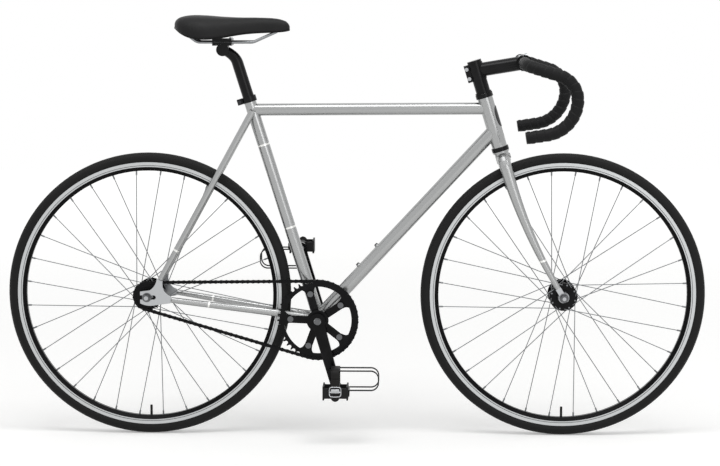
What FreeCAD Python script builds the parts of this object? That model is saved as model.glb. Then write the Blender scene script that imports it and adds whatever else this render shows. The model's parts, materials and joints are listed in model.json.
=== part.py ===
import FreeCAD, Part
import math
import os

os.makedirs("parts", exist_ok=True)

# A fixed gear track bicycle. X runs forward, Y to the rider's left, Z up, in millimetres.
# The origin is on the ground, in the middle plane, halfway between the wheel centres.

# Gaps between pieces and the overrun of every cut
SLIDE_FIT = 0.05
SEAT_GAP = 0.3
MITRE_GAP = 0.15
OVERRUN = 5.0

# Wheels, the same front and rear but for their hubs
WHEELBASE = 987.0
BEAD_SEAT_R = 311.0
TYRE_HEIGHT = 28.0
TYRE_WIDTH = 27.1
TREAD_WALL = 3.0
TYRE_WALL = 2.0
TUBE_WALL = 1.0
BEAD_OPENING = 10.0
RIM_WIDTH = 23.0
RIM_HOOK = 5.5
RIM_DEPTH = 20.5
BRAKE_TRACK = 11.5
RIM_BED = 10.0
HOOK_WALL = 2.6
RIM_WALL = 1.6
VALVE_R = 3.0
VALVE_LENGTH = 42.0
SPOKE_COUNT = 32
SPOKE_CROSSES = 3
SPOKE_R = 1.0
SPOKE_HEAD_R = 2.0
SPOKE_HEAD_THICK = 1.2
NIPPLE_R = 2.0
NIPPLE_LENGTH = 9.0
NIPPLE_GAP = 0.4
RIM_SPOKE_OFFSET = 1.8
FLANGE_R = 33.5
FLANGE_THICK = 4.0
FLANGE_SPACING = 66.0
SPOKE_CIRCLE_R = 29.0
HUB_BARREL_R = 15.0
BEARING_R = 13.0
BEARING_WIDTH = 8.0
FRONT_HUB_BOSS_R = 17.0
FRONT_HUB_LENGTH = 88.0
FRONT_AXLE_R = 4.5
FRONT_AXLE_SPACING = 100.0
REAR_HUB_LENGTH = 102.0
REAR_THREAD_R = 17.0
REAR_AXLE_R = 5.0
REAR_AXLE_SPACING = 120.0
CONE_R = 9.0
AXLE_STICKOUT = 4.0
AXLE_NUT_R = 8.5
AXLE_NUT_THICK = 9.0
NUT_SIDES = 6
AXLE_WASHER_R = 11.0
AXLE_WASHER_THICK = 2.0

# Drive: chain pitch, sprocket teeth and the links that set the chainstay length
CHAIN_PITCH = 12.7
CHAIN_LINKS = 96
CHAIN_FIT = 0.000001
RING_TEETH = 46
COG_TEETH = 16
CHAINLINE = 43.0
ROLLER_R = 3.875
ROLLER_SEAT_GAP = 0.12
ROLLER_SEAT_ANGLE = 75.0
TOOTH_HEIGHT = 3.6
TOOTH_TIP_SHARE = 0.09
TOOTH_THICK = 2.9
PIN_R = 1.8
PIN_BORE_GAP = 0.15
CHAIN_INNER_WIDTH = 3.4
PLATE_THICK = 1.0
PLATE_GAP = 0.1
PLATE_R = 4.2
PIN_STICKOUT = 0.8
LOCKRING_R = 21.0
LOCKRING_THICK = 4.0
RING_INNER_R = 80.0
TAB_SHOULDER_R = 14.0
BOLT_CIRCLE_R = 65.0
SPIDER_ARMS = 5
SPIDER_THICK = 4.5
SPIDER_ARM_WIDTH = 18.0
SPIDER_HUB_R = 26.0
RING_BOLT_R = 5.0
RING_BOLT_HEAD_R = 7.0
RING_BOLT_HEAD_THICK = 1.6

# Cranks, bottom bracket and pedals
CRANK_LENGTH = 165.0
CRANK_ANGLE = -74.3
CRANK_INNER_FACE = 58.0
CRANK_THICK = 13.0
CRANK_ROOT_WIDTH = 29.0
CRANK_TIP_WIDTH = 23.0
CRANK_CHAMFER = 3.0
CRANK_BOSS_R = 19.0
CRANK_BOSS_DEPTH = 8.0
CRANK_BOLT_DEPTH = 6.0
CRANK_EYE_R = 14.0
CRANK_BOLT_R = 7.0
CRANK_BOLT_HEAD = 3.0
BB_DROP = 56.0
BB_SHELL_R = 20.0
BB_SHELL_LENGTH = 68.0
BB_SHELL_WALL = 3.0
BB_SPINDLE_R = 8.5
BB_CUP_FLANGE_R = 21.0
BB_CUP_FLANGE = 4.0
BB_CUP_DEPTH = 14.0
PEDAL_SPINDLE_R = 6.9
PEDAL_COLLAR_R = 9.0
PEDAL_COLLAR = 5.0
PEDAL_GAP = 13.0
PEDAL_WIDTH = 58.0
PEDAL_LENGTH = 60.0
PEDAL_BARREL_R = 11.0
PEDAL_RAIL_THICK = 4.0
PEDAL_RAIL_HEIGHT = 32.0
PEDAL_PLATE_THICK = 4.0
PEDAL_PLATE_HEIGHT = 24.0
CLIP_STRIP_WIDTH = 5.0
CLIP_STRIP_THICK = 2.8
CLIP_STRIP_SPACING = 44.0
CLIP_REACH = 71.0
CLIP_BASE_HEIGHT = 7.0
CLIP_HEIGHT = 46.0
CLIP_BEND_R = 18.0
CLIP_FOOT_HEIGHT = 16.0
CLIP_BACK = 4.0
CLIP_BAR_THICK = 3.0
STRAP_WIDTH = 20.0
STRAP_THICK = 2.4
STRAP_BEND_R = 9.0
STRAP_SIDE_GAP = 2.0
STRAP_TAIL = 52.0

# Frame tubes
SEAT_ANGLE = 72.6
SEAT_TUBE_LENGTH = 554.0
SEAT_TUBE_WALL = 0.65
HEAD_ANGLE = 73.0
HEAD_TUBE_LENGTH = 122.0
HEAD_TUBE_WALL = 1.0
TOP_TUBE_R = 14.3
TOP_TUBE_BELOW_SEAT = 33.0
TOP_TUBE_BELOW_HEAD = 27.0
DOWN_TUBE_R = 15.9
DOWN_TUBE_ABOVE_HEAD = 42.0
TUBE_WALL_THICK = 1.2
SEATSTAY_TOP_R = 8.0
SEATSTAY_END_R = 6.5
SEATSTAY_TOP_OFFSET = 17.0
SEATSTAY_BELOW_SEAT = 36.0
CHAINSTAY_ROOT_R = 9.0
CHAINSTAY_END_R = 7.0
CHAINSTAY_ROOT_OFFSET = 24.0
CHAINSTAY_WAIST_OFFSET = 29.0
CHAINSTAY_WAIST_AT = 112.0
STAY_WALL = 1.2
STAY_BRIDGE_R = 6.0
BRIDGE_CLEARANCE = 17.0
STAY_END_GAP = 1.15
BRAKE_HOLE_R = 3.1
TRACK_END_THICK = 7.0
TRACK_END_LENGTH = 58.0
TRACK_SLOT_AHEAD = 21.5
TRACK_SLOT_GAP = 0.15
BOSS_R = 5.5
BOSS_HEIGHT = 2.5
BOSS_FIRST = 158.0
BOSS_PITCH = 64.0
BOSS_SCREW_R = 2.5
BOSS_SCREW_HEAD_R = 4.2
BOSS_SCREW_HEAD = 2.6
COLLAR_WALL = 3.2
COLLAR_HEIGHT = 14.0
COLLAR_EAR_LENGTH = 11.0
COLLAR_EAR_WIDTH = 18.0
COLLAR_SLIT = 2.0
COLLAR_BOLT_R = 2.5
COLLAR_BOLT_HEAD_R = 4.3
COLLAR_BOLT_HEAD = 4.0

# Fork, headset, stem and bars
FORK_RAKE = 42.3
FORK_LENGTH = 369.0
STEERER_R = 14.3
STEERER_WALL = 2.0
CROWN_WALL = 2.7
CROWN_HEIGHT = 24.0
CROWN_BOSS_R = 6.0
CROWN_BOSS_HEIGHT = 2.0
BLADE_WALL = 1.5
BLADE_ROOT_R = 14.5
BLADE_TIP_R = 6.3
BLADE_ASPECT_SHARE = 0.78
BLADE_TIP_FLAT_SHARE = 0.09
BLADE_TOP_OFFSET = 40.0
BLADE_BEND_R = 26.0
BLADE_CURVE_START = 310.0
BLADE_END_ABOVE = 26.0
FORK_TIP_THICK = 6.0
FORK_TIP_WIDTH = 24.0
FORK_TIP_NECK = 13.0
HEADSET_STACK = 14.0
CUP_WALL = 2.0
CUP_HEIGHT = 10.0
CUP_INSERT = 9.0
CUP_INSERT_WALL = 1.65
HEADSET_BEARING_WIDTH = 4.1
HEADSET_BEARING_HEIGHT = 6.6
STEERER_CLEARANCE = 1.0
SPACER_WALL = 2.65
SPACER_COUNT = 3
SPACER_HEIGHT = 10.0
TOP_CAP_HEIGHT = 6.0
TOP_CAP_BOLT_R = 4.5
STEM_LENGTH = 112.0
STEM_RISE_ANGLE = 9.4
STEM_CLAMP_HEIGHT = 41.0
STEM_AXIS_SHARE = 0.56
STEM_CLAMP_WALL = 4.0
STEM_TUBE_R = 16.5
STEM_EAR = 9.0
STEM_SLIT = 2.0
BAR_CLAMP_LENGTH = 44.0
BAR_CLAMP_WALL = 6.0
FACEPLATE_GAP = 1.6
STEM_BOLT_R = 2.5
STEM_BOLT_HEAD_R = 4.4
STEM_BOLT_HEAD = 4.5
STEM_BOLT_SEAT = 6.0
STEM_BOLT_DEPTH = 9.0
STEM_BOLT_EDGE = 9.0
BAR_R = 12.0
BAR_SLEEVE_R = 13.0
BAR_SLEEVE_LENGTH = 92.0
BAR_WALL = 2.0
BAR_WIDTH = 400.0
BAR_SHOULDER_R = 45.0
BAR_RAMP_LENGTH = 30.0
BAR_RAMP_ANGLE = 17.0
BAR_UPPER_R = 58.0
BAR_LOWER_R = 80.0
BAR_END_ANGLE = 8.6
BAR_END_LENGTH = 46.0
TAPE_THICK = 2.3
TAPE_LAP = 0.7
TAPE_WRAPS = 24
TAPE_START = 62.0
PLUG_THICK = 3.0
PLUG_DEPTH = 14.0

# Seatpost and saddle
POST_R = 13.6
POST_WALL = 2.4
POST_INSERTED = 150.0
POST_SHOWN = 83.0
POST_HEAD_RISE = 123.0
POST_HEAD_SETBACK = 23.4
POST_HEAD_R = 15.0
POST_HEAD_WIDTH = 34.0
POST_NECK_R = 11.5
CLAMP_LENGTH = 46.0
CLAMP_WIDTH = 58.0
CLAMP_BASE = 8.0
CLAMP_CAP = 8.0
CLAMP_SPLIT = 0.6
CLAMP_BOLT_R = 2.2
CLAMP_BOLT_HEAD_R = 4.0
CLAMP_BOLT_HEAD = 3.0
CLAMP_BOLT_GAP = 1.4
CRADLE_GAP = 0.3
RAIL_R = 3.5
RAIL_SPACING = 44.0
RAIL_NOSE_SPACING = 24.0
RAIL_TAIL_SPACING = 62.0
RAIL_ABOVE_TILT = 18.0
RAIL_RISE = 24.0
RAIL_BEND_R = 24.0
SADDLE_LENGTH = 270.0
SADDLE_WIDTH = 145.0
SADDLE_HEIGHT = 56.0
SADDLE_AHEAD = 158.0
SADDLE_ABOVE_RAILS = 63.0
SADDLE_SHELL_THICK = 3.0
SADDLE_SHELL_GAP = 0.6

# Directions and helpers
ORIGIN = FreeCAD.Vector(0, 0, 0)
FORE = FreeCAD.Vector(1, 0, 0)
LEFT = FreeCAD.Vector(0, 1, 0)
UP = FreeCAD.Vector(0, 0, 1)
FULL_TURN = 360.0
HALF_TURN = 180.0
SIDES = (-1, 1)


def at(x, y, z):
    return FreeCAD.Vector(x, y, z)


def leaning(angle):
    """The unit vector in the middle plane at an angle above straight ahead, in degrees."""
    return at(math.cos(math.radians(angle)), 0, math.sin(math.radians(angle)))


def rod(start, end, radius):
    return Part.makeCylinder(radius, (end - start).Length, start, end - start)


def hollow(start, end, radius, bore):
    """A tube, open at both ends."""
    along = (end - start).normalize() * OVERRUN
    return rod(start, end, radius).cut(rod(start - along, end + along, bore))


def block(low, high):
    size = high - low
    return Part.makeBox(size.x, size.y, size.z, low)


def bar_block(start, end, across, width, depth):
    """A straight bar of rectangular section: width along across, depth at right angles to it."""
    along = (end - start).normalize()
    side = across * (width / 2)
    deep = along.cross(across).normalize() * (depth / 2)
    corners = [start - side - deep, start + side - deep, start + side + deep, start - side + deep]
    return Part.Face(Part.makePolygon(corners + corners[:1])).extrude(end - start)


def merged(shapes):
    return shapes[0].multiFuse(shapes[1:])


def spun(pairs):
    """A closed outline of (radius, sideways) pairs turned about the Y axis."""
    points = [at(radius, sideways, 0) for radius, sideways in pairs]
    return Part.Face(Part.makePolygon(points + points[:1])).revolve(ORIGIN, LEFT, FULL_TURN)


def mirrored_outline(half):
    """The left half of an outline and its mirror image on the right, in order."""
    return half + [(radius, -sideways) for radius, sideways in reversed(half)]


def turned_about_wheel(shape, angle):
    copy = shape.copy()
    copy.rotate(ORIGIN, LEFT, angle)
    return copy


def moved(shape, offset):
    copy = shape.copy()
    copy.translate(offset)
    return copy


def mirrored(shape):
    return shape.mirror(ORIGIN, LEFT)


def rounded_path(points, radius):
    """Straight runs joined by tangent arcs of one radius."""
    edges = []
    start = points[0]
    for before, corner, after in zip(points, points[1:], points[2:]):
        back = (before - corner).normalize()
        ahead = (after - corner).normalize()
        half = back.getAngle(ahead) / 2
        reach = radius / math.tan(half)
        enter = corner + back * reach
        leave = corner + ahead * reach
        middle = corner + (back + ahead).normalize() * (radius / math.sin(half) - radius)
        edges.append(Part.LineSegment(start, enter).toShape())
        edges.append(Part.Arc(enter, middle, leave).toShape())
        start = leave
    edges.append(Part.LineSegment(start, points[-1]).toShape())
    return Part.Wire(edges)


def circle(centre, along, radius):
    return Part.Wire(Part.makeCircle(radius, centre, along))


def swept(path, profile):
    return path.makePipeShell([profile], True, False)


def round_pipe(path, radius):
    first = path.Edges[0]
    start = first.FirstParameter
    return swept(path, circle(first.valueAt(start), first.tangentAt(start), radius))


def tapered(centres, radii):
    """A smooth round bar through the centres, with its own radius at each."""
    last = len(centres) - 1
    rings = []
    for index, (centre, radius) in enumerate(zip(centres, radii)):
        along = centres[min(index + 1, last)] - centres[max(index - 1, 0)]
        rings.append(circle(centre, along, radius))
    return Part.makeLoft(rings, True)


def save(node, *shapes):
    solids = [solid for shape in shapes for solid in shape.Solids]
    Part.makeCompound(solids).exportStep("parts/" + node + ".step")


# Places that the whole bicycle follows
AXLE_HEIGHT = BEAD_SEAT_R + TYRE_HEIGHT
REAR_AXLE = at(-WHEELBASE / 2, 0, AXLE_HEIGHT)
FRONT_AXLE = at(WHEELBASE / 2, 0, AXLE_HEIGHT)
RING_PITCH_R = CHAIN_PITCH / 2 / math.sin(math.pi / RING_TEETH)
COG_PITCH_R = CHAIN_PITCH / 2 / math.sin(math.pi / COG_TEETH)


def chain_slope(distance):
    """The angle of the straight runs to the line between the sprocket centres."""
    return math.asin((RING_PITCH_R - COG_PITCH_R) / distance)


def links_round(distance):
    """How many links go round both sprockets at this centre distance."""
    slope = chain_slope(distance)
    on_ring = RING_TEETH * (math.pi + 2 * slope) / (2 * math.pi)
    on_cog = COG_TEETH * (math.pi - 2 * slope) / (2 * math.pi)
    return on_ring + on_cog + 2 * distance * math.cos(slope) / CHAIN_PITCH


def sprocket_distance():
    near = RING_PITCH_R + COG_PITCH_R
    far = CHAIN_PITCH * CHAIN_LINKS
    while far - near > CHAIN_FIT:
        middle = (near + far) / 2
        if links_round(middle) < CHAIN_LINKS:
            near = middle
        else:
            far = middle
    return near


CHAINSTAY_LENGTH = sprocket_distance()
BOTTOM_BRACKET = REAR_AXLE + at(math.sqrt(CHAINSTAY_LENGTH ** 2 - BB_DROP ** 2), 0, -BB_DROP)

SEAT_UP = leaning(HALF_TURN - SEAT_ANGLE)
SEAT_BACK = leaning(HALF_TURN + HALF_TURN / 2 - SEAT_ANGLE)
SEAT_TOP = BOTTOM_BRACKET + SEAT_UP * SEAT_TUBE_LENGTH
STEER_UP = leaning(HALF_TURN - HEAD_ANGLE)
STEER_FORE = leaning(HALF_TURN / 2 - HEAD_ANGLE)
STEER_FOOT = FRONT_AXLE - STEER_FORE * FORK_RAKE


def steer_at(height):
    """The point on the steering axis at a height above the axle's foot on it."""
    return STEER_FOOT + STEER_UP * height


HEAD_LOW = FORK_LENGTH + HEADSET_STACK
HEAD_HIGH = HEAD_LOW + HEAD_TUBE_LENGTH
STACK_TOP = HEAD_HIGH + HEADSET_STACK
SPACERS_TOP = STACK_TOP + SPACER_COUNT * SPACER_HEIGHT
STEM_TOP = SPACERS_TOP + STEM_CLAMP_HEIGHT

# Rim, a hooked double-wall section with a hole for the valve
RIM_OUTER_R = BEAD_SEAT_R + RIM_HOOK
RIM_INNER_R = RIM_OUTER_R - RIM_DEPTH
TRACK_INNER_R = RIM_OUTER_R - BRAKE_TRACK
TUBE_CENTRE_R = AXLE_HEIGHT - TREAD_WALL - (TYRE_WIDTH / 2 - TYRE_WALL)
TUBE_R = TYRE_WIDTH / 2 - TYRE_WALL - SEAT_GAP


def make_rim():
    half_width = RIM_WIDTH / 2
    outline = mirrored_outline([
        (BEAD_SEAT_R, half_width - HOOK_WALL),
        (RIM_OUTER_R, half_width - HOOK_WALL),
        (RIM_OUTER_R, half_width),
        (TRACK_INNER_R, half_width),
        (RIM_INNER_R, RIM_BED / 2),
    ])
    chamber = mirrored_outline([
        (BEAD_SEAT_R - RIM_WALL, half_width - RIM_WALL),
        (TRACK_INNER_R + RIM_WALL / 2, half_width - RIM_WALL),
        (RIM_INNER_R + RIM_WALL, RIM_BED / 2),
    ])
    hole = rod(at(0, 0, -BEAD_SEAT_R - OVERRUN), at(0, 0, OVERRUN - RIM_INNER_R), VALVE_R + SEAT_GAP)
    return spun(outline).cut(spun(chamber)).cut(hole)


# Tyre, a casing open between its beads
def make_tyre():
    outer_r = TYRE_WIDTH / 2
    outer_centre = AXLE_HEIGHT - outer_r
    shoulder = RIM_OUTER_R + SEAT_GAP
    shoulder_half = math.sqrt(outer_r ** 2 - (outer_centre - shoulder) ** 2)
    bead_half = RIM_WIDTH / 2 - HOOK_WALL - SEAT_GAP
    bead_low = BEAD_SEAT_R + SEAT_GAP
    mouth_half = BEAD_OPENING / 2
    inner_r = outer_r - TYRE_WALL
    mouth = TUBE_CENTRE_R - math.sqrt(inner_r ** 2 - mouth_half ** 2)
    left = [(mouth, mouth_half), (bead_low, mouth_half), (bead_low, bead_half), (shoulder, bead_half),
            (shoulder, shoulder_half)]
    left = [at(radius, sideways, 0) for radius, sideways in left]
    right = [at(point.x, -point.y, 0) for point in reversed(left)]
    edges = [Part.LineSegment(a, b).toShape() for a, b in zip(left, left[1:])]
    edges.append(Part.Arc(left[-1], at(AXLE_HEIGHT, 0, 0), right[0]).toShape())
    edges += [Part.LineSegment(a, b).toShape() for a, b in zip(right, right[1:])]
    edges.append(Part.Arc(right[-1], at(TUBE_CENTRE_R + inner_r, 0, 0), left[0]).toShape())
    return Part.Face(Part.Wire(edges)).revolve(ORIGIN, LEFT, FULL_TURN)


# Inner tube with its valve stem, which stands at the bottom of the wheel
def make_inner_tube():
    skin = Part.makeTorus(TUBE_CENTRE_R, TUBE_R, ORIGIN, LEFT)
    air = Part.makeTorus(TUBE_CENTRE_R, TUBE_R - TUBE_WALL, ORIGIN, LEFT)
    foot = TUBE_CENTRE_R - TUBE_R + TUBE_WALL / 2
    stem = rod(at(0, 0, -foot), at(0, 0, VALVE_LENGTH - foot), VALVE_R)
    return skin.fuse(stem).cut(air)


# Hubs with high flanges, drilled for the spokes
FLANGE_HOLE_R = SPOKE_R + SEAT_GAP
FLANGE_STEP = 2 * FULL_TURN / SPOKE_COUNT
FLANGE_SHIFT = FLANGE_STEP / 4


def make_hub(length, boss_r):
    inner = FLANGE_SPACING / 2 - FLANGE_THICK / 2
    outer = FLANGE_SPACING / 2 + FLANGE_THICK / 2
    shell = spun(mirrored_outline([
        (BEARING_R + SLIDE_FIT, length / 2),
        (boss_r, length / 2),
        (boss_r, outer),
        (FLANGE_R, outer),
        (FLANGE_R, inner),
        (HUB_BARREL_R, inner),
    ]))
    drills = []
    for side in SIDES:
        first = at(SPOKE_CIRCLE_R, side * (inner - OVERRUN), 0)
        drill = rod(first, at(SPOKE_CIRCLE_R, side * (outer + OVERRUN), 0), FLANGE_HOLE_R)
        for k in range(SPOKE_COUNT // 2):
            drills.append(turned_about_wheel(drill, side * FLANGE_SHIFT + FLANGE_STEP * k))
    return shell.cut(drills)


def make_hub_bearings(length, axle_r):
    rings = []
    for side in SIDES:
        outer_face = side * length / 2
        inner_face = outer_face - side * BEARING_WIDTH
        rings.append(hollow(at(0, inner_face, 0), at(0, outer_face, 0), BEARING_R, axle_r + SLIDE_FIT))
    return Part.makeCompound(rings)


# Spokes, each with its head, elbow and nipple; half lead and half trail
def make_spoke(side, lead):
    middle = side * FLANGE_SPACING / 2
    away = side * lead
    elbow = at(SPOKE_CIRCLE_R, middle + away * (FLANGE_THICK / 2 + SPOKE_R + SLIDE_FIT), 0)
    seat = at(SPOKE_CIRCLE_R, middle - away * (FLANGE_THICK / 2 + SLIDE_FIT), 0)
    cap = seat - LEFT * (away * SPOKE_HEAD_THICK)
    swing = math.radians(lead * SPOKE_CROSSES * FLANGE_STEP)
    rim_r = RIM_INNER_R - NIPPLE_GAP
    end = at(rim_r * math.cos(swing), side * RIM_SPOKE_OFFSET, rim_r * math.sin(swing))
    flat_run = at(end.x - elbow.x, 0, end.z - elbow.z).normalize()
    knee = elbow + flat_run * math.sqrt(FLANGE_R ** 2 - SPOKE_CIRCLE_R ** 2)
    along = (end - knee).normalize()
    nipple = rod(end - along * NIPPLE_LENGTH, end, NIPPLE_R)
    bends = [Part.makeSphere(SPOKE_R, point) for point in (elbow, knee)]
    legs = [rod(knee, end, SPOKE_R), rod(elbow, knee, SPOKE_R), rod(elbow, seat, SPOKE_R)]
    return merged(legs + bends + [rod(seat, cap, SPOKE_HEAD_R), nipple])


def make_spokes():
    spokes = []
    for side in SIDES:
        for lead in SIDES:
            first = make_spoke(side, lead)
            start = side * FLANGE_SHIFT if lead > 0 else side * FLANGE_SHIFT + FLANGE_STEP
            spokes += [turned_about_wheel(first, start + 2 * FLANGE_STEP * k) for k in range(SPOKE_COUNT // 4)]
    return Part.makeCompound(spokes)


# Axles with their cones, and the nuts outside the frame and the fork
def make_axle(axle_r, hub_length, spacing, end_thick):
    reach = spacing / 2 + end_thick + AXLE_WASHER_THICK + AXLE_NUT_THICK + AXLE_STICKOUT
    shapes = [rod(at(0, -reach, 0), at(0, reach, 0), axle_r)]
    for side in SIDES:
        inner = at(0, side * (hub_length / 2 + SEAT_GAP), 0)
        shapes.append(rod(inner, at(0, side * spacing / 2, 0), CONE_R))
    return merged(shapes)


def make_axle_nuts(axle_r, spacing, end_thick):
    nuts = []
    for side in SIDES:
        face = side * (spacing / 2 + end_thick)
        washer_top = face + side * AXLE_WASHER_THICK
        nut_top = washer_top + side * AXLE_NUT_THICK
        first = Part.Vertex(at(AXLE_NUT_R, washer_top, 0))
        corners = [turned_about_wheel(first, FULL_TURN / NUT_SIDES * k).Point for k in range(NUT_SIDES)]
        hexagon = Part.Face(Part.makePolygon(corners + corners[:1])).extrude(LEFT * (nut_top - washer_top))
        washer = rod(at(0, face, 0), at(0, washer_top, 0), AXLE_WASHER_R)
        bore = rod(at(0, face - side * OVERRUN, 0), at(0, nut_top + side * OVERRUN, 0), axle_r + SLIDE_FIT)
        nuts.append(washer.fuse(hexagon).cut(bore))
    return Part.makeCompound(nuts)


for wheel, place in (("front", FRONT_AXLE), ("rear", REAR_AXLE)):
    save(wheel + "_tyre", moved(make_tyre(), place))
    save(wheel + "_inner_tube", moved(make_inner_tube(), place))
    save(wheel + "_rim", moved(make_rim(), place))
    save(wheel + "_spokes", moved(make_spokes(), place))
save("front_hub", moved(make_hub(FRONT_HUB_LENGTH, FRONT_HUB_BOSS_R), FRONT_AXLE))
save("front_hub_bearings", moved(make_hub_bearings(FRONT_HUB_LENGTH, FRONT_AXLE_R), FRONT_AXLE))
front_axle = make_axle(FRONT_AXLE_R, FRONT_HUB_LENGTH, FRONT_AXLE_SPACING, FORK_TIP_THICK)
save("front_axle", moved(front_axle, FRONT_AXLE))
save("front_axle_nuts", moved(make_axle_nuts(FRONT_AXLE_R, FRONT_AXLE_SPACING, FORK_TIP_THICK), FRONT_AXLE))
save("rear_hub", moved(make_hub(REAR_HUB_LENGTH, REAR_THREAD_R), REAR_AXLE))
save("rear_hub_bearings", moved(make_hub_bearings(REAR_HUB_LENGTH, REAR_AXLE_R), REAR_AXLE))
rear_axle = make_axle(REAR_AXLE_R, REAR_HUB_LENGTH, REAR_AXLE_SPACING, TRACK_END_THICK)
save("rear_axle", moved(rear_axle, REAR_AXLE))
save("rear_axle_nuts", moved(make_axle_nuts(REAR_AXLE_R, REAR_AXLE_SPACING, TRACK_END_THICK), REAR_AXLE))

# Chain: a loop of equal links over the ring and the cog, both runs straight
CHAIN_BACK = (REAR_AXLE - BOTTOM_BRACKET).normalize()
CHAIN_RISE = at(CHAIN_BACK.z, 0, -CHAIN_BACK.x)
CHAIN_SLOPE = chain_slope(CHAINSTAY_LENGTH)
RUN_LINKS = CHAINSTAY_LENGTH * math.cos(CHAIN_SLOPE) / CHAIN_PITCH
COG_LINKS = COG_TEETH * (math.pi - 2 * CHAIN_SLOPE) / (2 * math.pi)
TANGENT_ANGLE = math.pi / 2 - CHAIN_SLOPE
CHAIN_PLANE = LEFT * -CHAINLINE


def around(centre, radius, angle):
    """A point round a sprocket, the angle counted from the line to the rear axle."""
    return centre + CHAIN_BACK * (radius * math.cos(angle)) + CHAIN_RISE * (radius * math.sin(angle))


def chain_pin(count):
    """The centre of a pin, counted in links from the top of the ring by way of the cog."""
    if count < RUN_LINKS:
        top = around(BOTTOM_BRACKET, RING_PITCH_R, TANGENT_ANGLE)
        return top + (around(REAR_AXLE, COG_PITCH_R, TANGENT_ANGLE) - top) * (count / RUN_LINKS)
    count -= RUN_LINKS
    if count < COG_LINKS:
        return around(REAR_AXLE, COG_PITCH_R, TANGENT_ANGLE - count * 2 * math.pi / COG_TEETH)
    count -= COG_LINKS
    if count < RUN_LINKS:
        low = around(REAR_AXLE, COG_PITCH_R, -TANGENT_ANGLE)
        return low + (around(BOTTOM_BRACKET, RING_PITCH_R, -TANGENT_ANGLE) - low) * (count / RUN_LINKS)
    count -= RUN_LINKS
    return around(BOTTOM_BRACKET, RING_PITCH_R, -TANGENT_ANGLE - count * 2 * math.pi / RING_TEETH)


COG_PHASE = TANGENT_ANGLE - (math.ceil(RUN_LINKS) - RUN_LINKS) * 2 * math.pi / COG_TEETH
RING_START = 2 * RUN_LINKS + COG_LINKS
RING_PHASE = -TANGENT_ANGLE - (math.ceil(RING_START) - RING_START) * 2 * math.pi / RING_TEETH
PLATE_WAIST_SHARE = 0.75


def link_plate(inner_face, thick):
    """A waisted plate over two pins, and its mirror image on the other side of the chain."""
    pin = at(CHAIN_PITCH, inner_face, 0)
    low = UP * -PLATE_R
    start = at(0, inner_face, 0)
    middle = (start + pin) * (1 / 2)
    outline = [
        Part.Arc(start - low, start - FORE * PLATE_R, start + low).toShape(),
        Part.Arc(start + low, middle + low * PLATE_WAIST_SHARE, pin + low).toShape(),
        Part.Arc(pin + low, pin + FORE * PLATE_R, pin - low).toShape(),
        Part.Arc(pin - low, middle - low * PLATE_WAIST_SHARE, start - low).toShape(),
    ]
    plate = Part.Face(Part.Wire(outline)).extrude(LEFT * thick)
    return [plate, mirrored(plate)]


def make_links():
    inner_face = CHAIN_INNER_WIDTH / 2
    outer_face = inner_face + PLATE_THICK + PLATE_GAP
    pin_end = outer_face + PLATE_THICK + PIN_STICKOUT
    places = [ORIGIN, FORE * CHAIN_PITCH]
    rollers = [rod(place - LEFT * inner_face, place + LEFT * inner_face, ROLLER_R) for place in places]
    bores = [rod(place - LEFT * pin_end, place + LEFT * pin_end, PIN_R + PIN_BORE_GAP) for place in places]
    pins = [rod(place - LEFT * pin_end, place + LEFT * pin_end, PIN_R) for place in places]
    inner = merged(link_plate(inner_face, PLATE_THICK) + rollers).cut(bores)
    outer = merged(link_plate(outer_face, PLATE_THICK) + pins)
    return inner, outer


def make_chain():
    kinds = make_links()
    links = []
    for count in range(CHAIN_LINKS):
        start = chain_pin(count)
        run = chain_pin((count + 1) % CHAIN_LINKS) - start
        link = kinds[count % 2].copy()
        turn = FreeCAD.Rotation(LEFT, -math.degrees(math.atan2(run.z, run.x)))
        link.Placement = FreeCAD.Placement(start + CHAIN_PLANE, turn)
        links.append(link)
    return Part.makeCompound(links)


# Sprockets: roller seats joined by straight flanks and flat tips
SEAT_HALF_ANGLE = math.radians(ROLLER_SEAT_ANGLE)


def toothed_disc(centre, teeth, pitch_r, phase):
    seat_r = ROLLER_R + ROLLER_SEAT_GAP
    step = 2 * math.pi / teeth
    tip_half = TOOTH_TIP_SHARE * step
    points = []
    for tooth in range(teeth):
        angle = phase + tooth * step
        seat = around(centre, pitch_r, angle)
        out = (seat - centre).normalize()
        along = out.cross(LEFT)
        if along.dot(around(centre, pitch_r, angle + step) - seat) < 0:
            along = along * -1
        inward = out * (seat_r * math.cos(SEAT_HALF_ANGLE))
        sideways = along * (seat_r * math.sin(SEAT_HALF_ANGLE))
        tip_r = pitch_r + TOOTH_HEIGHT
        tips = [around(centre, tip_r, angle + step / 2 + shift) for shift in (-tip_half, tip_half)]
        foot = seat - inward
        points.append((foot - sideways, seat - out * seat_r, foot + sideways, tips[0], tips[1]))
    edges = []
    for here, following in zip(points, points[1:] + points[:1]):
        edges.append(Part.Arc(here[0], here[1], here[2]).toShape())
        edges.append(Part.LineSegment(here[2], here[3]).toShape())
        edges.append(Part.LineSegment(here[3], here[4]).toShape())
        edges.append(Part.LineSegment(here[4], following[0]).toShape())
    disc = Part.Face(Part.Wire(edges)).extrude(LEFT * TOOTH_THICK)
    return moved(disc, CHAIN_PLANE - LEFT * (TOOTH_THICK / 2))


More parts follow.
